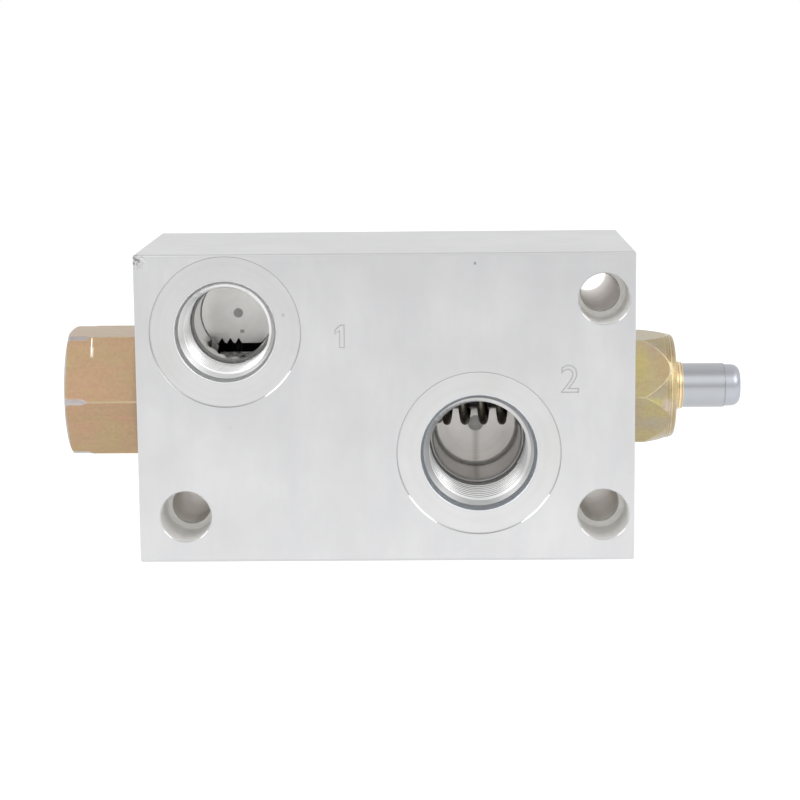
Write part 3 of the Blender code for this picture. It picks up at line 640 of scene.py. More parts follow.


# Marks and patches, some of them painted shade or highlights: the two corners of the box that each one fills,
# in millimetres, and its colour

BLOCK_MARKS = [
    # Painted shade along the front face's lower edge
    ((-60.0, -27.0, -0.6), (60.0, -24.6, 0.6), (0.54, 0.54, 0.55)),
    ((-60.0, -27.0, 62.8), (60.0, -24.8, 63.7), (0.58, 0.58, 0.585)),
    ((18.0, -26.5, 61.0), (18.6, -24.5, 61.7), (0.33, 0.33, 0.33)),
]
WORN_CORNER = ((-52.0, -27.0, 60.4), (-48.4, -23.6, 64.4))
SPECK = ((-32.2, 6.0, 43.2), (-31.1, 8.0, 44.1), (0.35, 0.34, 0.33))
DOT = ((-20.95, -26.0, 50.7), (-20.2, -24.5, 51.5), (0.48, 0.49, 0.52))
# Painted shade: the cartridge bore's dark cavity seen through the upper port, and the lip where the port's
# pilot bore opens into it
CAVITY_SHADE = ((-46.0, -14.0, 18.0), (-33.0, 20.0, 46.0), (0.16, 0.15, 0.14))
PORT_LIP_SHADE = ((-41.5, -3.0, 38.0), (-34.6, 7.3, 43.4), (0.13, 0.125, 0.12))
# A small gouge on the plug's upper front flat, painted near white as its highlight, with a dimmer painted
# highlight at its lower end
GOUGE_HIGHLIGHT = ((-62.74, -7.6, 40.6), (-62.44, -3.6, 44.4), (1.0, 0.97, 0.9))
GOUGE_END_HIGHLIGHT = ((-62.85, -7.6, 39.9), (-62.1, -5.2, 42.3), (0.7, 0.62, 0.5))
PLUG_RIM = ((-68.6, -20.0, 10.0), (-67.7, 20.0, 50.0), (0.42, 0.4, 0.37))
PLUG_SHADE = ((-54.0, -20.0, 10.0), (-48.0, 20.0, 50.0), (0.32, 0.225, 0.135))
ROSE_PATCH = ((55.6, -14.0, 31.5), (62.0, 0.0, 41.5), (0.4, 0.29, 0.16))
BROWN_PATCH = ((54.0, -12.0, 37.5), (60.0, 0.0, 44.5), (0.38, 0.29, 0.2))
YELLOW_PATCH = ((50.6, -14.0, 33.5), (56.4, 0.0, 42.0), (0.44, 0.365, 0.14))
GREY_PATCH = ((52.0, -16.0, 22.5), (63.0, 2.0, 27.2), (0.36, 0.31, 0.22))
LILAC_PATCH = ((57.4, -14.0, 26.6), (61.6, 0.0, 31.4), (0.52, 0.44, 0.38))
LIME_PATCH = ((53.6, -14.0, 27.6), (58.8, 0.0, 31.6), (0.5, 0.47, 0.14))
# Painted highlight: a bright yellow patch on the front of the gland's turned rim
GLAND_RIM_HIGHLIGHT = ((59.3, -14.0, 28.2), (62.4, 0.0, 40.6), (0.68, 0.56, 0.29))

# Finishes of the block

UPPER_AXIS = (UPPER_PORT[0], FRONT, UPPER_PORT[1])
LOWER_AXIS = (LOWER_PORT[0], FRONT, LOWER_PORT[1])
PALE = (0.66, 0.66, 0.66)
FACED = (0.63, 0.63, 0.63)
MILLED = milled_aluminium()
UPPER_BORED = bored_aluminium("bored_upper_port", UPPER_AXIS, (0.75, 0.75, 0.75), (0.79, 0.785, 0.765), 17.0,
                              marks=[SPECK, PORT_LIP_SHADE])
LOWER_BORED = bored_aluminium("bored_lower_port", LOWER_AXIS, (0.56, 0.56, 0.56), (0.72, 0.695, 0.67), 18.5,
                              streak=0.5)
UPPER_TAPER = bored_aluminium("upper_seal_taper", UPPER_AXIS, (0.9, 0.91, 0.92), (0.9, 0.9, 0.9), 9.0,
                              rough=0.42)
LOWER_TAPER = bored_aluminium("lower_seal_taper", LOWER_AXIS, (0.84, 0.88, 0.93), (0.9, 0.89, 0.88), 9.0,
                              rough=0.42)
# A lighter, smoother copy of the bored finish for the upper port's pilot wall: its lighter tone is painted
# light
UPPER_WALL = bored_aluminium("upper_pilot_wall", UPPER_AXIS, (0.95, 0.95, 0.94), rough=0.1, marks=[PORT_LIP_SHADE])
UPPER_FACED = bored_aluminium("faced_upper_port", UPPER_AXIS, FACED, clouding=0.15, circle=15.38, marks=[DOT])
LOWER_FACED = bored_aluminium("faced_lower_port", LOWER_AXIS, FACED, clouding=0.15, circle=16.78)
AXIS_BORED = bored_aluminium("bored_cartridge", (0, AXIS_Y, AXIS_Z), PALE, turn=(0.0, 0.0, 0.0), marks=[CAVITY_SHADE])
# A darker copy of the bored finish for the shallow centre marks: painted shade in place of the drill point's
# hollow
DRILL_POINT = bored_aluminium("drill_points", UPPER_AXIS, (0.54, 0.535, 0.525), rough=0.4)
# A lighter, half-diffuse copy of the bored finish for bore-floor corners and the bolt holes' ledges: painted
# light against their dark reflections
FLOOR_CORNER = bored_aluminium("bore_floor_corners", UPPER_AXIS, (0.93, 0.91, 0.88), rough=0.55, metal=0.3)
# Painted highlight: the near-white crescents that rims show low on their left and right
RIM_HIGHLIGHT = bored_aluminium("rim_highlights", UPPER_AXIS, (0.92, 0.92, 0.92), rough=0.4, metal=0.35)
# A darker copy of the bored finish: painted shade in the stamped digits' grooves and on the bolt holes' inner
# edges
GROOVE_SHADE = bored_aluminium("painted_groove_shade", UPPER_AXIS, (0.54, 0.54, 0.54))

# Finishes of the plug and the gland: name, the film's own, rose and green hues, their scale and the roughness

TAN_ZINC = yellow_zinc("yellow_zinc_tan", ((0.42, 0.28, 0.165), (0.46, 0.27, 0.17), (0.4, 0.32, 0.15)),
                       130.0, 0.45, marks=[PLUG_RIM, PLUG_SHADE, GOUGE_END_HIGHLIGHT, GOUGE_HIGHLIGHT])
LAVENDER_ZINC = yellow_zinc("yellow_zinc_lavender",
                            ((0.46, 0.42, 0.42), (0.46, 0.4, 0.4), (0.44, 0.42, 0.36)), 200.0, 0.42)
# The edge finishes are lighter than the flats: wear, and a painted highlight along the rounded corners
TAN_EDGE = yellow_zinc("tan_zinc_edges", ((0.5, 0.39, 0.24), (0.56, 0.42, 0.26), (0.5, 0.42, 0.22)),
                       300.0, 0.4)
OLIVE_ZINC = yellow_zinc("yellow_zinc_olive", ((0.41, 0.34, 0.16), (0.39, 0.27, 0.18), (0.37, 0.33, 0.26)),
                         170.0, 0.4, cone=True, patches=[YELLOW_PATCH, BROWN_PATCH, ROSE_PATCH, GREY_PATCH])
TURNED_ZINC = yellow_zinc("yellow_zinc_turned", ((0.4, 0.33, 0.18), (0.4, 0.28, 0.19), (0.4, 0.35, 0.28)),
                          190.0, 0.38, 59.4, patches=[LIME_PATCH, LILAC_PATCH, GLAND_RIM_HIGHLIGHT])
# Lighter than the olive flats: wear, and a painted highlight along the rounded corners
OLIVE_EDGE = yellow_zinc("olive_zinc_edges", ((0.54, 0.47, 0.29), (0.54, 0.42, 0.29), (0.52, 0.47, 0.29)),
                         300.0, 0.35)
LIP_ZINC = yellow_zinc("yellow_zinc_lip", ((0.66, 0.53, 0.32), (0.66, 0.47, 0.3), (0.62, 0.55, 0.36)),
                       300.0, 0.32, 61.0)
# A near-black copy of the zinc for the plug's shank and thread inside the bore
DARK_THREAD_ZINC = yellow_zinc("dark_thread_zinc", ((0.17, 0.16, 0.14), (0.19, 0.16, 0.14), (0.16, 0.16, 0.13)),
                          200.0, 0.35)

# Finishes of the rod and the inner pieces

GROUND = ground_steel("ground_steel", (0.42, 0.432, 0.455), 0.26, 0.0006, 0.015)
POLISHED = ground_steel("polished_tip_steel", (0.44, 0.45, 0.49), 0.32, 0.0006, 0.015)
HARD = ground_steel("hardened_steel", (0.3, 0.3, 0.31), 0.3)
WIRE = spring_steel()
NITRILE = soft_polymer("nitrile", (0.02, 0.02, 0.022), 0.5)
PTFE = soft_polymer("backup_polymer", (0.7, 0.68, 0.6), 0.45)
URETHANE = soft_polymer("seal_polymer", (0.05, 0.13, 0.3), 0.42)
BRONZE = ground_steel("bearing_bronze", (0.5, 0.3, 0.12), 0.32)


# Manifold block


def port_tool(name, place, finishes, face, mouth, thread, thread_depth, pilot, depth, corner, mark,
              both_sides):
    """The tools that make one port: spot face, then seal taper, thread bore, pilot bore and centre mark."""
    faced, tapered, bored, wall = finishes
    pitch, bore, root = thread
    rim = face / 2
    spot = [(-1.0, 0), (-1.0, rim + 0.2), (0.0, rim + 0.2), (0.17, rim), (0.27, rim - 0.02),
            (0.27, rim - 0.12), (SPOT_DEPTH, rim - 0.16), (SPOT_DEPTH, 0)]
    spot = paint_rim(turned(spot, BORE_STEPS), 1, -0.01, 0.28, rim - 0.17, both_sides)
    mouth /= 2
    pilot /= 2
    mark /= 2
    taper_end = (mouth + bore) / 2 + 0.325
    edge = (bore - pilot) * 0.45
    outline = [
        (-1.0, 0), (-1.0, mouth + 0.15), (SPOT_DEPTH, mouth + 0.15), (SPOT_DEPTH + 0.15, mouth),
        (SEAL_DEPTH, taper_end), (SEAL_DEPTH + taper_end - bore, bore), (thread_depth - THREAD_RELIEF, bore),
        (thread_depth, bore - THREAD_RELIEF), (thread_depth, pilot + edge), (thread_depth + edge, pilot),
    ]
    outline += rounded(depth - corner, pilot, depth, pilot - corner, 5)
    outline += [(depth, mark + 0.05), (depth + 0.05, mark - 0.2), (depth + mark / 4.5, 0)]
    main = turned(outline, BORE_STEPS)
    paint(main, 1, 0.0, SEAL_DEPTH, 0.0, 2 * mouth)
    # The chamfer at the thread's end gets the lighter taper finish: a painted highlight line
    paint(main, 1, thread_depth + 0.01, thread_depth + edge, pilot, bore - THREAD_RELIEF)
    paint(main, 2, depth - corner, depth, pilot - corner - 0.02, mouth)
    paint(main, 3, depth + 0.005, depth + mark, 0.0, 2 * mark)
    paint(main, 4, thread_depth + edge, depth - corner, pilot - 0.05, pilot + 0.05)
    tap = screw_thread(SEAL_DEPTH - pitch, thread_depth - pitch, pitch, bore, root, bore - THREAD_RELIEF,
                       inside=True)
    return [
        finished(into_front(spot, *place), name + "_face", faced, RIM_HIGHLIGHT),
        finished(into_front(main, *place), name, bored, tapered, FLOOR_CORNER, DRILL_POINT, wall),
        finished(into_front(tap, *place), name + "_tap", bored),
    ]


def nick_tools():
    """Two small dents by the block's upper left front corner."""
    tools = []
    for i, (x, z, size) in enumerate(((-49.0, 62.9, 0.55), (-48.5, 62.4, 0.4))):
        bm = bmesh.new()
        bmesh.ops.create_icosphere(bm, subdivisions=3, radius=size)
        tools.append(finished(moved(bm, x, FRONT - size * 0.6, z), f"corner_nick_{i + 1}", MILLED))
    return tools


def cartridge_tools():
    """The stepped bore along the block, and the tap for the plug's thread."""
    left_seal = LEFT + SEAL_DEPTH
    right_seal = RIGHT - SEAL_DEPTH
    pitch, crest, root = COARSE_THREAD
    right_bore = FINE_THREAD[1]
    outline = [
        (LEFT - 1, 0), (LEFT - 1, LEFT_MOUTH), (LEFT, LEFT_MOUTH), (LEFT + 0.15, LEFT_MOUTH - 0.15),
        (left_seal, crest + 1.235), (left_seal + 1.2, crest), (LEFT_BORE_END - THREAD_RELIEF, crest),
        (LEFT_BORE_END, crest - THREAD_RELIEF), (LEFT_BORE_END, LAND_RADIUS), (LAND_END, LAND_RADIUS),
        (LAND_END, NECK_RADIUS), (NECK_END, NECK_RADIUS), (NECK_END, right_bore),
        (right_seal - 1.1, right_bore), (right_seal, right_bore + 1.125),
        (RIGHT - 0.15, RIGHT_MOUTH - 0.15), (RIGHT, RIGHT_MOUTH), (RIGHT + 1, RIGHT_MOUTH), (RIGHT + 1, 0),
    ]
    bore = finished(on_axis(turned(outline, BORE_STEPS)), "cartridge_bore", AXIS_BORED)
    tap = screw_thread(LEFT_THREAD_START, LEFT_THREAD_END, pitch, crest, root, crest - THREAD_RELIEF,
                       inside=True)
    return [bore, finished(on_axis(tap), "cartridge_tap", AXIS_BORED)]


def bolt_tool(name, x, z):
    """A bolt hole: a through hole, sunk flat for the screw's head, with broken edges."""
    back = BLOCK[1]
    outline = [
        (-1.0, 0), (-1.0, SINK_RADIUS + SINK_EDGE), (0.0, SINK_RADIUS + SINK_EDGE), (SINK_EDGE, SINK_RADIUS),
        (SINK_DEPTH - SINK_CORNER, SINK_RADIUS), (SINK_DEPTH, SINK_RADIUS - SINK_CORNER),
        (SINK_DEPTH, HOLE_RADIUS + HOLE_EDGE), (SINK_DEPTH + HOLE_EDGE, HOLE_RADIUS),
        (back - BACK_EDGE, HOLE_RADIUS), (back, HOLE_RADIUS + BACK_EDGE),
        (back + 1, HOLE_RADIUS + BACK_EDGE), (back + 1, 0),
    ]
    finish = bored_aluminium("drilled_" + name, (x, FRONT, z), (0.97, 0.97, 0.955), (0.95, 0.91, 0.87),
                             SINK_DEPTH, clouding=0.45, rough=0.38, metal=0.4)
    hole = turned(outline, TURN_STEPS)
    # The inner hole's edge: a ring of painted shade
    paint(hole, 1, SINK_DEPTH, SINK_DEPTH + HOLE_EDGE, HOLE_RADIUS - 0.05, HOLE_RADIUS + HOLE_EDGE)
    paint(hole, 2, SINK_DEPTH - 0.01, SINK_DEPTH + 0.01, HOLE_RADIUS, SINK_RADIUS)
    paint(hole, 3, 0.0, SINK_EDGE, SINK_RADIUS, SINK_RADIUS + SINK_EDGE)
    paint_rim(hole, 4, 0.0, SINK_EDGE, SINK_RADIUS)
    return finished(into_front(hole, x, z), name, finish, GROOVE_SHADE, FLOOR_CORNER, MILLED, RIM_HIGHLIGHT)


def stamped(name, drawn, x, z):
    """Make a drawn outline into a thin round cord that stamps it into the block's front face."""
    drawn.bevel_depth = STAMP_RADIUS * MM
    drawn.bevel_resolution = 1
    drawn.materials.append(GROOVE_SHADE)
    mesh = drawn_mesh(name, drawn)
    mesh.transform(Matrix.Rotation(math.pi / 2, 4, "X"))
    mesh.transform(Matrix.Translation((x * MM, (FRONT - STAMP_LIFT) * MM, z * MM)))
    return linked(name, mesh)


def stamped_one(x, z, height):
    """Port number 1, drawn as an outline."""
    corners = [(-0.1, 0), (0.1, 0), (0.1, 1), (-0.06, 1), (-0.3, 0.78), (-0.3, 0.62), (-0.1, 0.76)]
    curve = bpy.data.curves.new("stamp_1", "CURVE")
    curve.dimensions = "3D"
    line = curve.splines.new("POLY")
    line.points.add(len(corners) - 1)
    line.use_cyclic_u = True
    for point, (across, up) in zip(line.points, corners):
        point.co = (across * height * MM, up * height * MM, 0, 1)
    return stamped("stamp_1", curve, x, z)


def stamped_two(x, z, height):
    """Port number 2, as an outline of Blender's own plain font."""
    words = bpy.data.curves.new("stamp_2", "FONT")
    words.body = "2"
    words.size = height / DIGIT_HEIGHT * MM
    words.fill_mode = "NONE"
    words.align_x = "CENTER"
    return stamped("stamp_2", words, x, z)


def make_block():
    """The manifold block, cut by every tool in turn."""
    bm = bmesh.new()
    bmesh.ops.create_cube(bm, size=1.0)
    bmesh.ops.scale(bm, vec=BLOCK, verts=bm.verts)
    moved(bm, 0, 0, BLOCK[2] / 2)
    block = finished(bevelled(bm, bm.edges[:], BLOCK_EDGE, -1), "manifold_block", MILLED)
    tools = cartridge_tools()
    tools += port_tool("upper_port", UPPER_PORT, (UPPER_FACED, UPPER_TAPER, UPPER_BORED, UPPER_WALL),
                       face=30.6, mouth=20.6, thread=FINE_THREAD, thread_depth=18.0, pilot=16.2, depth=32.5,
                       corner=0.2, mark=2.0, both_sides=False)
    tools += port_tool("lower_port", LOWER_PORT, (LOWER_FACED, LOWER_TAPER, LOWER_BORED, LOWER_BORED),
                       face=33.4, mouth=23.9, thread=COARSE_THREAD, thread_depth=20.0, pilot=18.5, depth=36.5,
                       corner=0.7, mark=3.4, both_sides=True)
    tools += nick_tools()
    tools += [bolt_tool(name, x, z) for name, (x, z) in BOLT_HOLES.items()]
    tools += [stamped_one(x=-8.7, z=44.4, height=4.6), stamped_two(x=37.5, z=34.95, height=5.8)]
    machine(block, "DIFFERENCE", tools, BLOCK_SHARP)
    hand_over(block, "valve_block", "block")


# Hex plug and gland


def hex_bar(name, start, end, flats, turn, finish, edge_finish):
    """A hexagonal bar along the cartridge axis, with slightly rounded corners in a lighter finish: wear, and
    a painted highlight.
    """
    bm = bmesh.new()
    corner = across_corners(flats)
    bmesh.ops.create_cone(bm, cap_ends=True, segments=6, radius1=corner, radius2=corner, depth=end - start)
    rotated(rotated(bm, math.pi / 2, "Y"), math.radians(-turn), "X")
    moved(bm, (start + end) / 2, 0, 0)
    long_edges = [e for e in bm.edges if abs(e.verts[0].co.x - e.verts[1].co.x) > 1.0]
    return finished(on_axis(bevelled(bm, long_edges, HEX_CORNER, 1)), name, finish, edge_finish)


def soften(piece, width, edge_finish, angle):
    """Round a piece's edges a little, so that they catch the light, and give them the lighter edge finish:
    wear, and a painted highlight.
    """
    if edge_finish.name not in piece.data.materials:
        piece.data.materials.append(edge_finish)
    edge = piece.modifiers.new("soft_edges", "BEVEL")
    edge.material = piece.data.materials.find(edge_finish.name)
    edge.width = width * MM
    edge.segments = 2
    edge.limit_method = "ANGLE"
    edge.angle_limit = math.radians(angle)
    mesh = applied(piece)
    piece.modifiers.clear()
    piece.data = mesh
    shade(mesh)


def joined(name, *pieces):
    """Put several closed shapes into one object, each with its own finishes."""
    bm = bmesh.new()
    finishes = []
    for piece in pieces:
        before = len(bm.faces)
        bm.from_mesh(piece.data)
        bm.faces.ensure_lookup_table()
        for finish in piece.data.materials:
            if finish not in finishes:
                finishes.append(finish)
        for face in bm.faces[before:]:
            face.material_index = finishes.index(piece.data.materials[face.material_index])
    mesh = mesh_of(bm, name)
    for finish in finishes:
        mesh.materials.append(finish)
    for piece in pieces:
        bpy.data.objects.remove(piece)
    return linked(name, mesh)


def make_plug():
    """The yellow zinc hex plug: hex head with a turned band, and the threaded shank behind it."""
    corner = across_corners(PLUG_FLATS)
    band = corner - BAND_CUT
    outline = [(PLUG_TIP, 0)]
    outline += reversed(rounded(PLUG_TIP + 0.95, band, PLUG_TIP, PLUG_FACE))
    outline += [(BAND_END, band), (BAND_END + 3.0, corner + BAND_CUT), (PLUG_HEAD, corner + BAND_CUT),
                (PLUG_HEAD, 0)]
    head = finished(on_axis(turned(outline, BORE_STEPS)), "hex_plug_head", LAVENDER_ZINC)
    bar = hex_bar("plug_bar", PLUG_TIP - 1, PLUG_HEAD + 1, PLUG_FLATS, PLUG_TURN, TAN_ZINC, TAN_EDGE)
    machine(head, "INTERSECT", [bar])
    pitch, crest, root = COARSE_THREAD
    shank_radius = crest - 0.28
    hollow, neck, mouth = 5.4, 9.2, 6.7
    shank = [
        (PLUG_HEAD - 1, hollow), (PLUG_HEAD - 1, neck), (PLUG_HEAD + 2.5, neck),
        (PLUG_HEAD + 3.1, shank_radius), (PLUG_END - 0.6, shank_radius), (PLUG_END, shank_radius - 0.6),
        (PLUG_END, mouth), (PLUG_END - 3.8, mouth), (PLUG_END - 3.8, hollow),
    ]
    shank = finished(on_axis(turned(shank, TURN_STEPS, ring=True)), "plug_shank", DARK_THREAD_ZINC)
    ridge = screw_thread(LEFT_THREAD_START + 3 * pitch, PLUG_END - 0.9, pitch, shank_radius, root - 0.13,
                         shank_radius - 0.25, inside=False)
    ridge = finished(on_axis(ridge), "plug_ridge", DARK_THREAD_ZINC)
    hand_over(joined("hex_plug", head, shank, ridge), "regulator_hex_plug", "block")


def make_gland():
    """The yellow zinc hex gland: its coned head, finely ribbed rim and the stepped lip round the rod."""
    corner = across_corners(GLAND_FLATS)
    rim_end = GLAND_FACE - 0.15
    rim_start = rim_end - 1.8
    rim_radius = corner - (rim_start - GLAND_CONE) * GLAND_SLOPE
    rim = rounded(rim_start, rim_radius, rim_end, rim_radius - 1.1, 20)
    outline = [(GLAND_HEAD, 0), (GLAND_HEAD, corner + 0.1), (GLAND_CONE - 0.3, corner + 0.1)]
    outline += [(x, radius - 0.05 * (i % 4 == 2)) for i, (x, radius) in enumerate(rim)]
    outline += [(GLAND_FACE - 0.05, 7.5), (GLAND_FACE, 5.6), (GLAND_FACE, 0)]
    head = finished(on_axis(turned(outline, BORE_STEPS)), "gland_head", TURNED_ZINC)
    bar = hex_bar("gland_bar", GLAND_HEAD - 1, GLAND_FACE + 1, GLAND_FLATS, GLAND_TURN, OLIVE_ZINC,
                  OLIVE_EDGE)
    hole = [(GLAND_HEAD - 2, 0), (GLAND_HEAD - 2, ROD_HOLE), (GLAND_FACE + 2, ROD_HOLE), (GLAND_FACE + 2, 0)]
    hole = finished(on_axis(turned(hole)), "gland_hole", OLIVE_ZINC)
    machine(head, "INTERSECT", [bar])
    soften(head, 0.12, OLIVE_EDGE, 11.0)
    machine(head, "DIFFERENCE", [hole])
    neck, shank_radius, hollow = 7.75, 8.4, 6.35
    shank = [
        (GLAND_END, hollow + 0.3), (GLAND_END, shank_radius - 0.3), (GLAND_END + 0.6, shank_radius),
        (GLAND_HEAD - 3.1, shank_radius), (GLAND_HEAD - 2.5, neck), (GLAND_HEAD + 1, neck),
        (GLAND_HEAD + 1, ROD_HOLE + 0.2), (46.7, ROD_HOLE), (46.7, hollow), (GLAND_END + 0.3, hollow),
    ]
    shank = finished(on_axis(turned(shank, ring=True)), "gland_shank", OLIVE_ZINC)
    lip = [(-0.3, ROD_HOLE), (-0.3, 5.75), (0.0, 5.6), (0.25, 5.45), (0.33, 5.34), (0.41, 5.38), (0.8, 5.22),
           (0.88, 5.1), (0.96, 5.14), (1.55, 5.04), (1.72, 5.0), (1.8, 4.92), (1.8, ROD_HOLE)]
    lip = [(GLAND_FACE + x, radius) for x, radius in lip]
    lip = finished(on_axis(turned(lip, ring=True)), "gland_lip", LIP_ZINC)
    hand_over(joined("hex_gland", head, shank, lip), "plunger_gland", "block")


def make_rod():
    """The ground pull rod, and the rounded tip that is pressed into its end."""
    spigot, tip_hole, tip_floor = 2.6, 2.3, 66.8
    rod = [
        (3.324, 0), (3.324, spigot), (ROD_START, spigot), (ROD_START, 4.6), (ROD_START + 0.16, ROD_RADIUS),
        (ROD_END - 0.3, ROD_RADIUS), (ROD_END - 0.08, ROD_RADIUS - 0.12), (ROD_END, ROD_RADIUS - 0.2),
        (ROD_END, tip_hole), (tip_floor, tip_hole), (tip_floor, 0),
    ]
    # The chamfer at the rod's end gets the darker hardened steel: painted shade along the step to the tip
    rod = paint(turned(rod), 1, ROD_END - 0.3, ROD_END - 0.1, 4.5, 5.0)
    rod = finished(on_axis(rod), "pull_rod", GROUND, HARD)
    tip = [(tip_floor + 0.3, 0), (tip_floor + 0.3, 2.0), (ROD_END + 0.01, 2.0), (ROD_END + 0.01, TIP_RADIUS)]
    tip += rounded(TIP_END - 1.9, TIP_RADIUS - 0.03, TIP_END, TIP_RADIUS - 1.6, 12)
    tip.append((TIP_END, 0))
    tip = finished(on_axis(turned(tip)), "rounded_tip", POLISHED)
    hand_over(rod, "plunger_rod", "plunger")
    hand_over(tip, "rod_tip", "plunger")


# Springs and inner pieces


def coil_spring(name, start, end, outside, wire, turns, first):
    """A right-hand compression spring with one closed turn at each end, as a round cord on a helix."""
    closed_pitch = wire * 1.06
    open_pitch = (end - start - wire - 2 * closed_pitch) / (turns - 2)
    radius = (outside - wire) / 2
    count = round(turns * SPRING_STEPS)
    curve = bpy.data.curves.new(name, "CURVE")
    curve.dimensions = "3D"
    curve.bevel_depth = wire / 2 * MM
    curve.bevel_resolution = 5
    curve.use_fill_caps = True
    spline = curve.splines.new("POLY")
    spline.points.add(count)
    for i in range(count + 1):
        turn = turns * i / count
        lift = closed_pitch * (min(turn, 1) + max(turn - turns + 1, 0))
        lift += open_pitch * min(max(turn - 1, 0), turns - 2)
        angle = math.tau * turn + math.radians(first)
        across, up = radius * math.cos(angle), radius * math.sin(angle)
        place = (start + wire / 2 + lift, AXIS_Y - across, AXIS_Z - up)
        spline.points[i].co = (*[c * MM for c in place], 1)
    mesh = drawn_mesh(name, curve)
    shade(mesh, CORD_SHARP)
    mesh.materials.clear()
    mesh.materials.append(WIRE)
    return linked(name, mesh)


def make_springs():
    """The poppet's return spring and the regulator's spring."""
    back = coil_spring("poppet_spring", start=ROD_START, end=33.5, outside=16.6, wire=1.8, turns=6.5,
                       first=98.0)
    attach(back, "block")
    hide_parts("return_spring")
    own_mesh(back)
    regulator = coil_spring("spool_spring", start=-59.7, end=-32.6, outside=10.2, wire=1.1, turns=7.5,
                            first=0.0)
    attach(regulator, "block")
    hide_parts("regulator_spring")
    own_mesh(regulator)


def dress_frame():
    """Give the inner CAD pieces their finishes."""
    finishes = {
        HARD: ("regulator_sleeve", "orifice_disc", "poppet_seat", "poppet", "poppet_pin"),
        GROUND: ("regulator_spool", "spring_washer"),
        WIRE: ("orifice_snap_ring",),
        NITRILE: ("plug_seal_ring", "sleeve_seal_ring", "seat_seal_ring", "gland_seal_ring"),
        PTFE: ("sleeve_backup_ring", "rod_backup_ring"),
        URETHANE: ("rod_lip_seal", "rod_wiper"),
        BRONZE: ("rod_guide_bush",),
    }
    for finish, names in finishes.items():
        for name in names:
            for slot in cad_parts[name].material_slots:
                slot.material = finish


# Stage, light and camera

WHITE = (1.0, 1.0, 1.0)
FLOOR_SIZE = 1.6
FLOOR_GLOW = 0.8
ROOM_STRENGTH = 1.4
ROOM_LEVELS = ((0.0, 0.56), (0.1, 0.58), (0.3, 0.86), (0.45, 1.04), (0.75, 1.04), (0.9, 0.6), (1.0, 0.58))
BACK_LEVEL = 0.6
LAMP_PLACE = (0.62, -0.5, 0.5)
LAMP_SIZE = 0.35
LAMP_POWER = 0.9
LAMP_TARGET = (0.0, 0.0, 0.03)


def seen_rays(tree):
    """Rays that show the backdrop: the camera's, and those of metal and glass that mirror it."""
    path = put(tree, "LightPath", {}).outputs
    mirrored = maths(tree, "MAXIMUM", path["Is Glossy Ray"], path["Is Transmission Ray"])
    return path["Is Camera Ray"], mirrored


def make_stage():
    """A plain pale floor that shows white, keeps the valve's soft shadow and is mirrored greyer near by."""
    bm = bmesh.new()
    bmesh.ops.create_grid(bm, x_segments=1, y_segments=1, size=FLOOR_SIZE)
    mesh = mesh_of(bm, "studio_floor")
    floor = linked("studio_floor", mesh)
    made = bpy.data.materials.new("pale_floor")
    made.use_nodes = True
    tree = made.node_tree
    shader = fill(tree, tree.nodes["Principled BSDF"],
                  {"Base Color": (0.8, 0.8, 0.8), "Roughness": 0.9, "Specular IOR Level": 0.0})
    camera, mirrored = seen_rays(tree)
    towards_back = parts_of(tree, put(tree, "TexCoord", {}).outputs["Object"])[1]
    in_front = spread(tree, towards_back, -0.45, -0.05, 0.66, 1.0)
    behind = spread(tree, towards_back, -0.02, 0.05)
    level = put(tree, "Mix", {0: behind, 2: in_front, 3: FLOOR_GLOW}).outputs[0]
    strength = put(tree, "Mix", {0: camera, 2: level, 3: FLOOR_GLOW}).outputs[0]
    shadowed = put(tree, "BsdfDiffuse", {"Color": (0.3, 0.3, 0.3)})
    glow = put(tree, "Emission", {"Color": WHITE, "Strength": strength})
    backdrop = put(tree, "AddShader", {0: shadowed.outputs[0], 1: glow.outputs[0]})
    seen = maths(tree, "MAXIMUM", camera, mirrored)
    both = put(tree, "MixShader", {0: seen, 1: shader.outputs[0], 2: backdrop.outputs[0]})
    tree.links.new(both.outputs[0], tree.nodes["Material Output"].inputs["Surface"])
    mesh.materials.append(made)


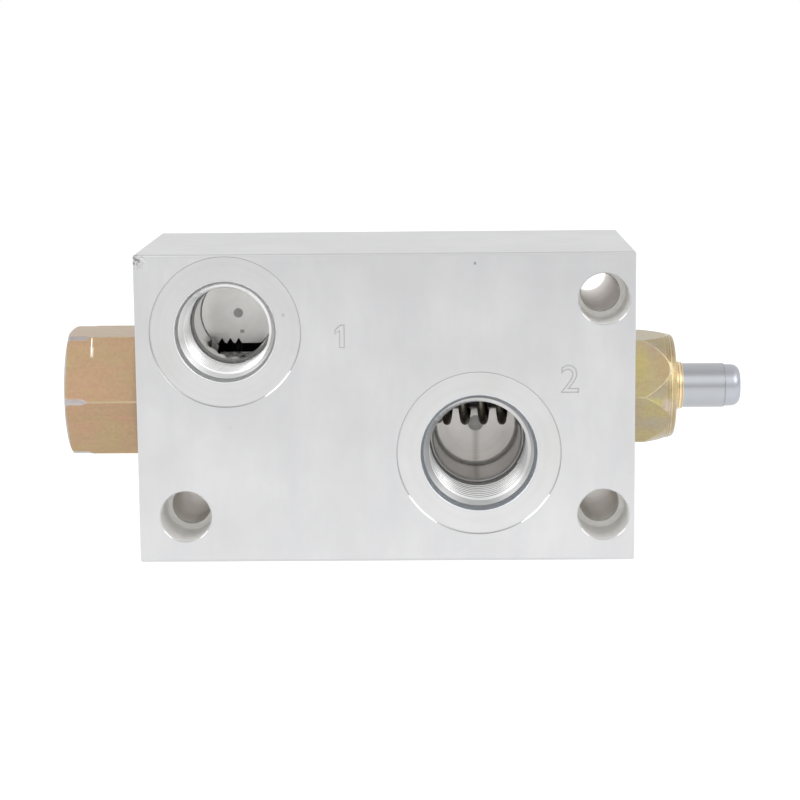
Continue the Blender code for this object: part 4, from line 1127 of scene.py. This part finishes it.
def make_world():
    """Soft studio surroundings: white behind the valve, a bright band above the camera, a grey ceiling."""
    world = bpy.data.worlds.new("studio")
    world.use_nodes = True
    bpy.context.scene.world = world
    tree = world.node_tree
    tree.nodes.clear()
    way = parts_of(tree, put(tree, "TexCoord", {}).outputs["Generated"])
    heights = put(tree, "ValToRGB", {0: way[2]})
    stops = heights.color_ramp.elements
    for place, level in ROOM_LEVELS:
        stop = stops[0] if place == 0.0 else stops[-1] if place == 1.0 else stops.new(place)
        stop.color = (level, level, level, 1.0)
    behind = spread(tree, way[1], -0.1, 0.3)
    colour = mixed(tree, behind, heights.outputs[0], (BACK_LEVEL, BACK_LEVEL, BACK_LEVEL))
    room = put(tree, "Background", {"Color": colour, "Strength": ROOM_STRENGTH})
    white = put(tree, "Background", {"Color": WHITE, "Strength": 1.0})
    camera, mirrored = seen_rays(tree)
    seen = maths(tree, "MAXIMUM", camera, maths(tree, "MULTIPLY", mirrored, behind))
    both = put(tree, "MixShader", {0: seen, 1: room.outputs[0], 2: white.outputs[0]})
    tree.links.new(both.outputs[0], put(tree, "OutputWorld", {}).inputs["Surface"])


def make_lights():
    """Two soft square lamps in front of the valve, to its left and right."""
    for name, side in (("left_box", -1), ("right_box", 1)):
        lamp = bpy.data.lights.new(name, "AREA")
        lamp.shape = "RECTANGLE"
        lamp.size = lamp.size_y = LAMP_SIZE
        lamp.energy = LAMP_POWER
        made = linked(name, lamp)
        made.location = (side * LAMP_PLACE[0], *LAMP_PLACE[1:])
        made.rotation_euler = (Vector(LAMP_TARGET) - made.location).to_track_quat("-Z", "Y").to_euler()


def make_camera():
    """The photograph's viewpoint, solved from the block's corners."""
    lens = bpy.data.cameras.new("camera")
    lens.lens = 101.6
    lens.sensor_width = 36.0
    lens.clip_start = 0.01
    camera = linked("camera", lens)
    angles = ((80.756, "X"), (0.863, "Y"), (-0.378, "Z"))
    turns = [Matrix.Rotation(math.radians(angle), 4, axis) for angle, axis in angles]
    camera.matrix_world = Matrix.Translation((0.00988, -0.47874, 0.10734)) @ turns[0] @ turns[1] @ turns[2]
    bpy.context.scene.camera = camera
    bpy.context.scene.view_settings.view_transform = "Standard"


make_block()
make_plug()
make_gland()
make_rod()
make_springs()
dress_frame()
make_stage()
make_world()
make_lights()
make_camera()
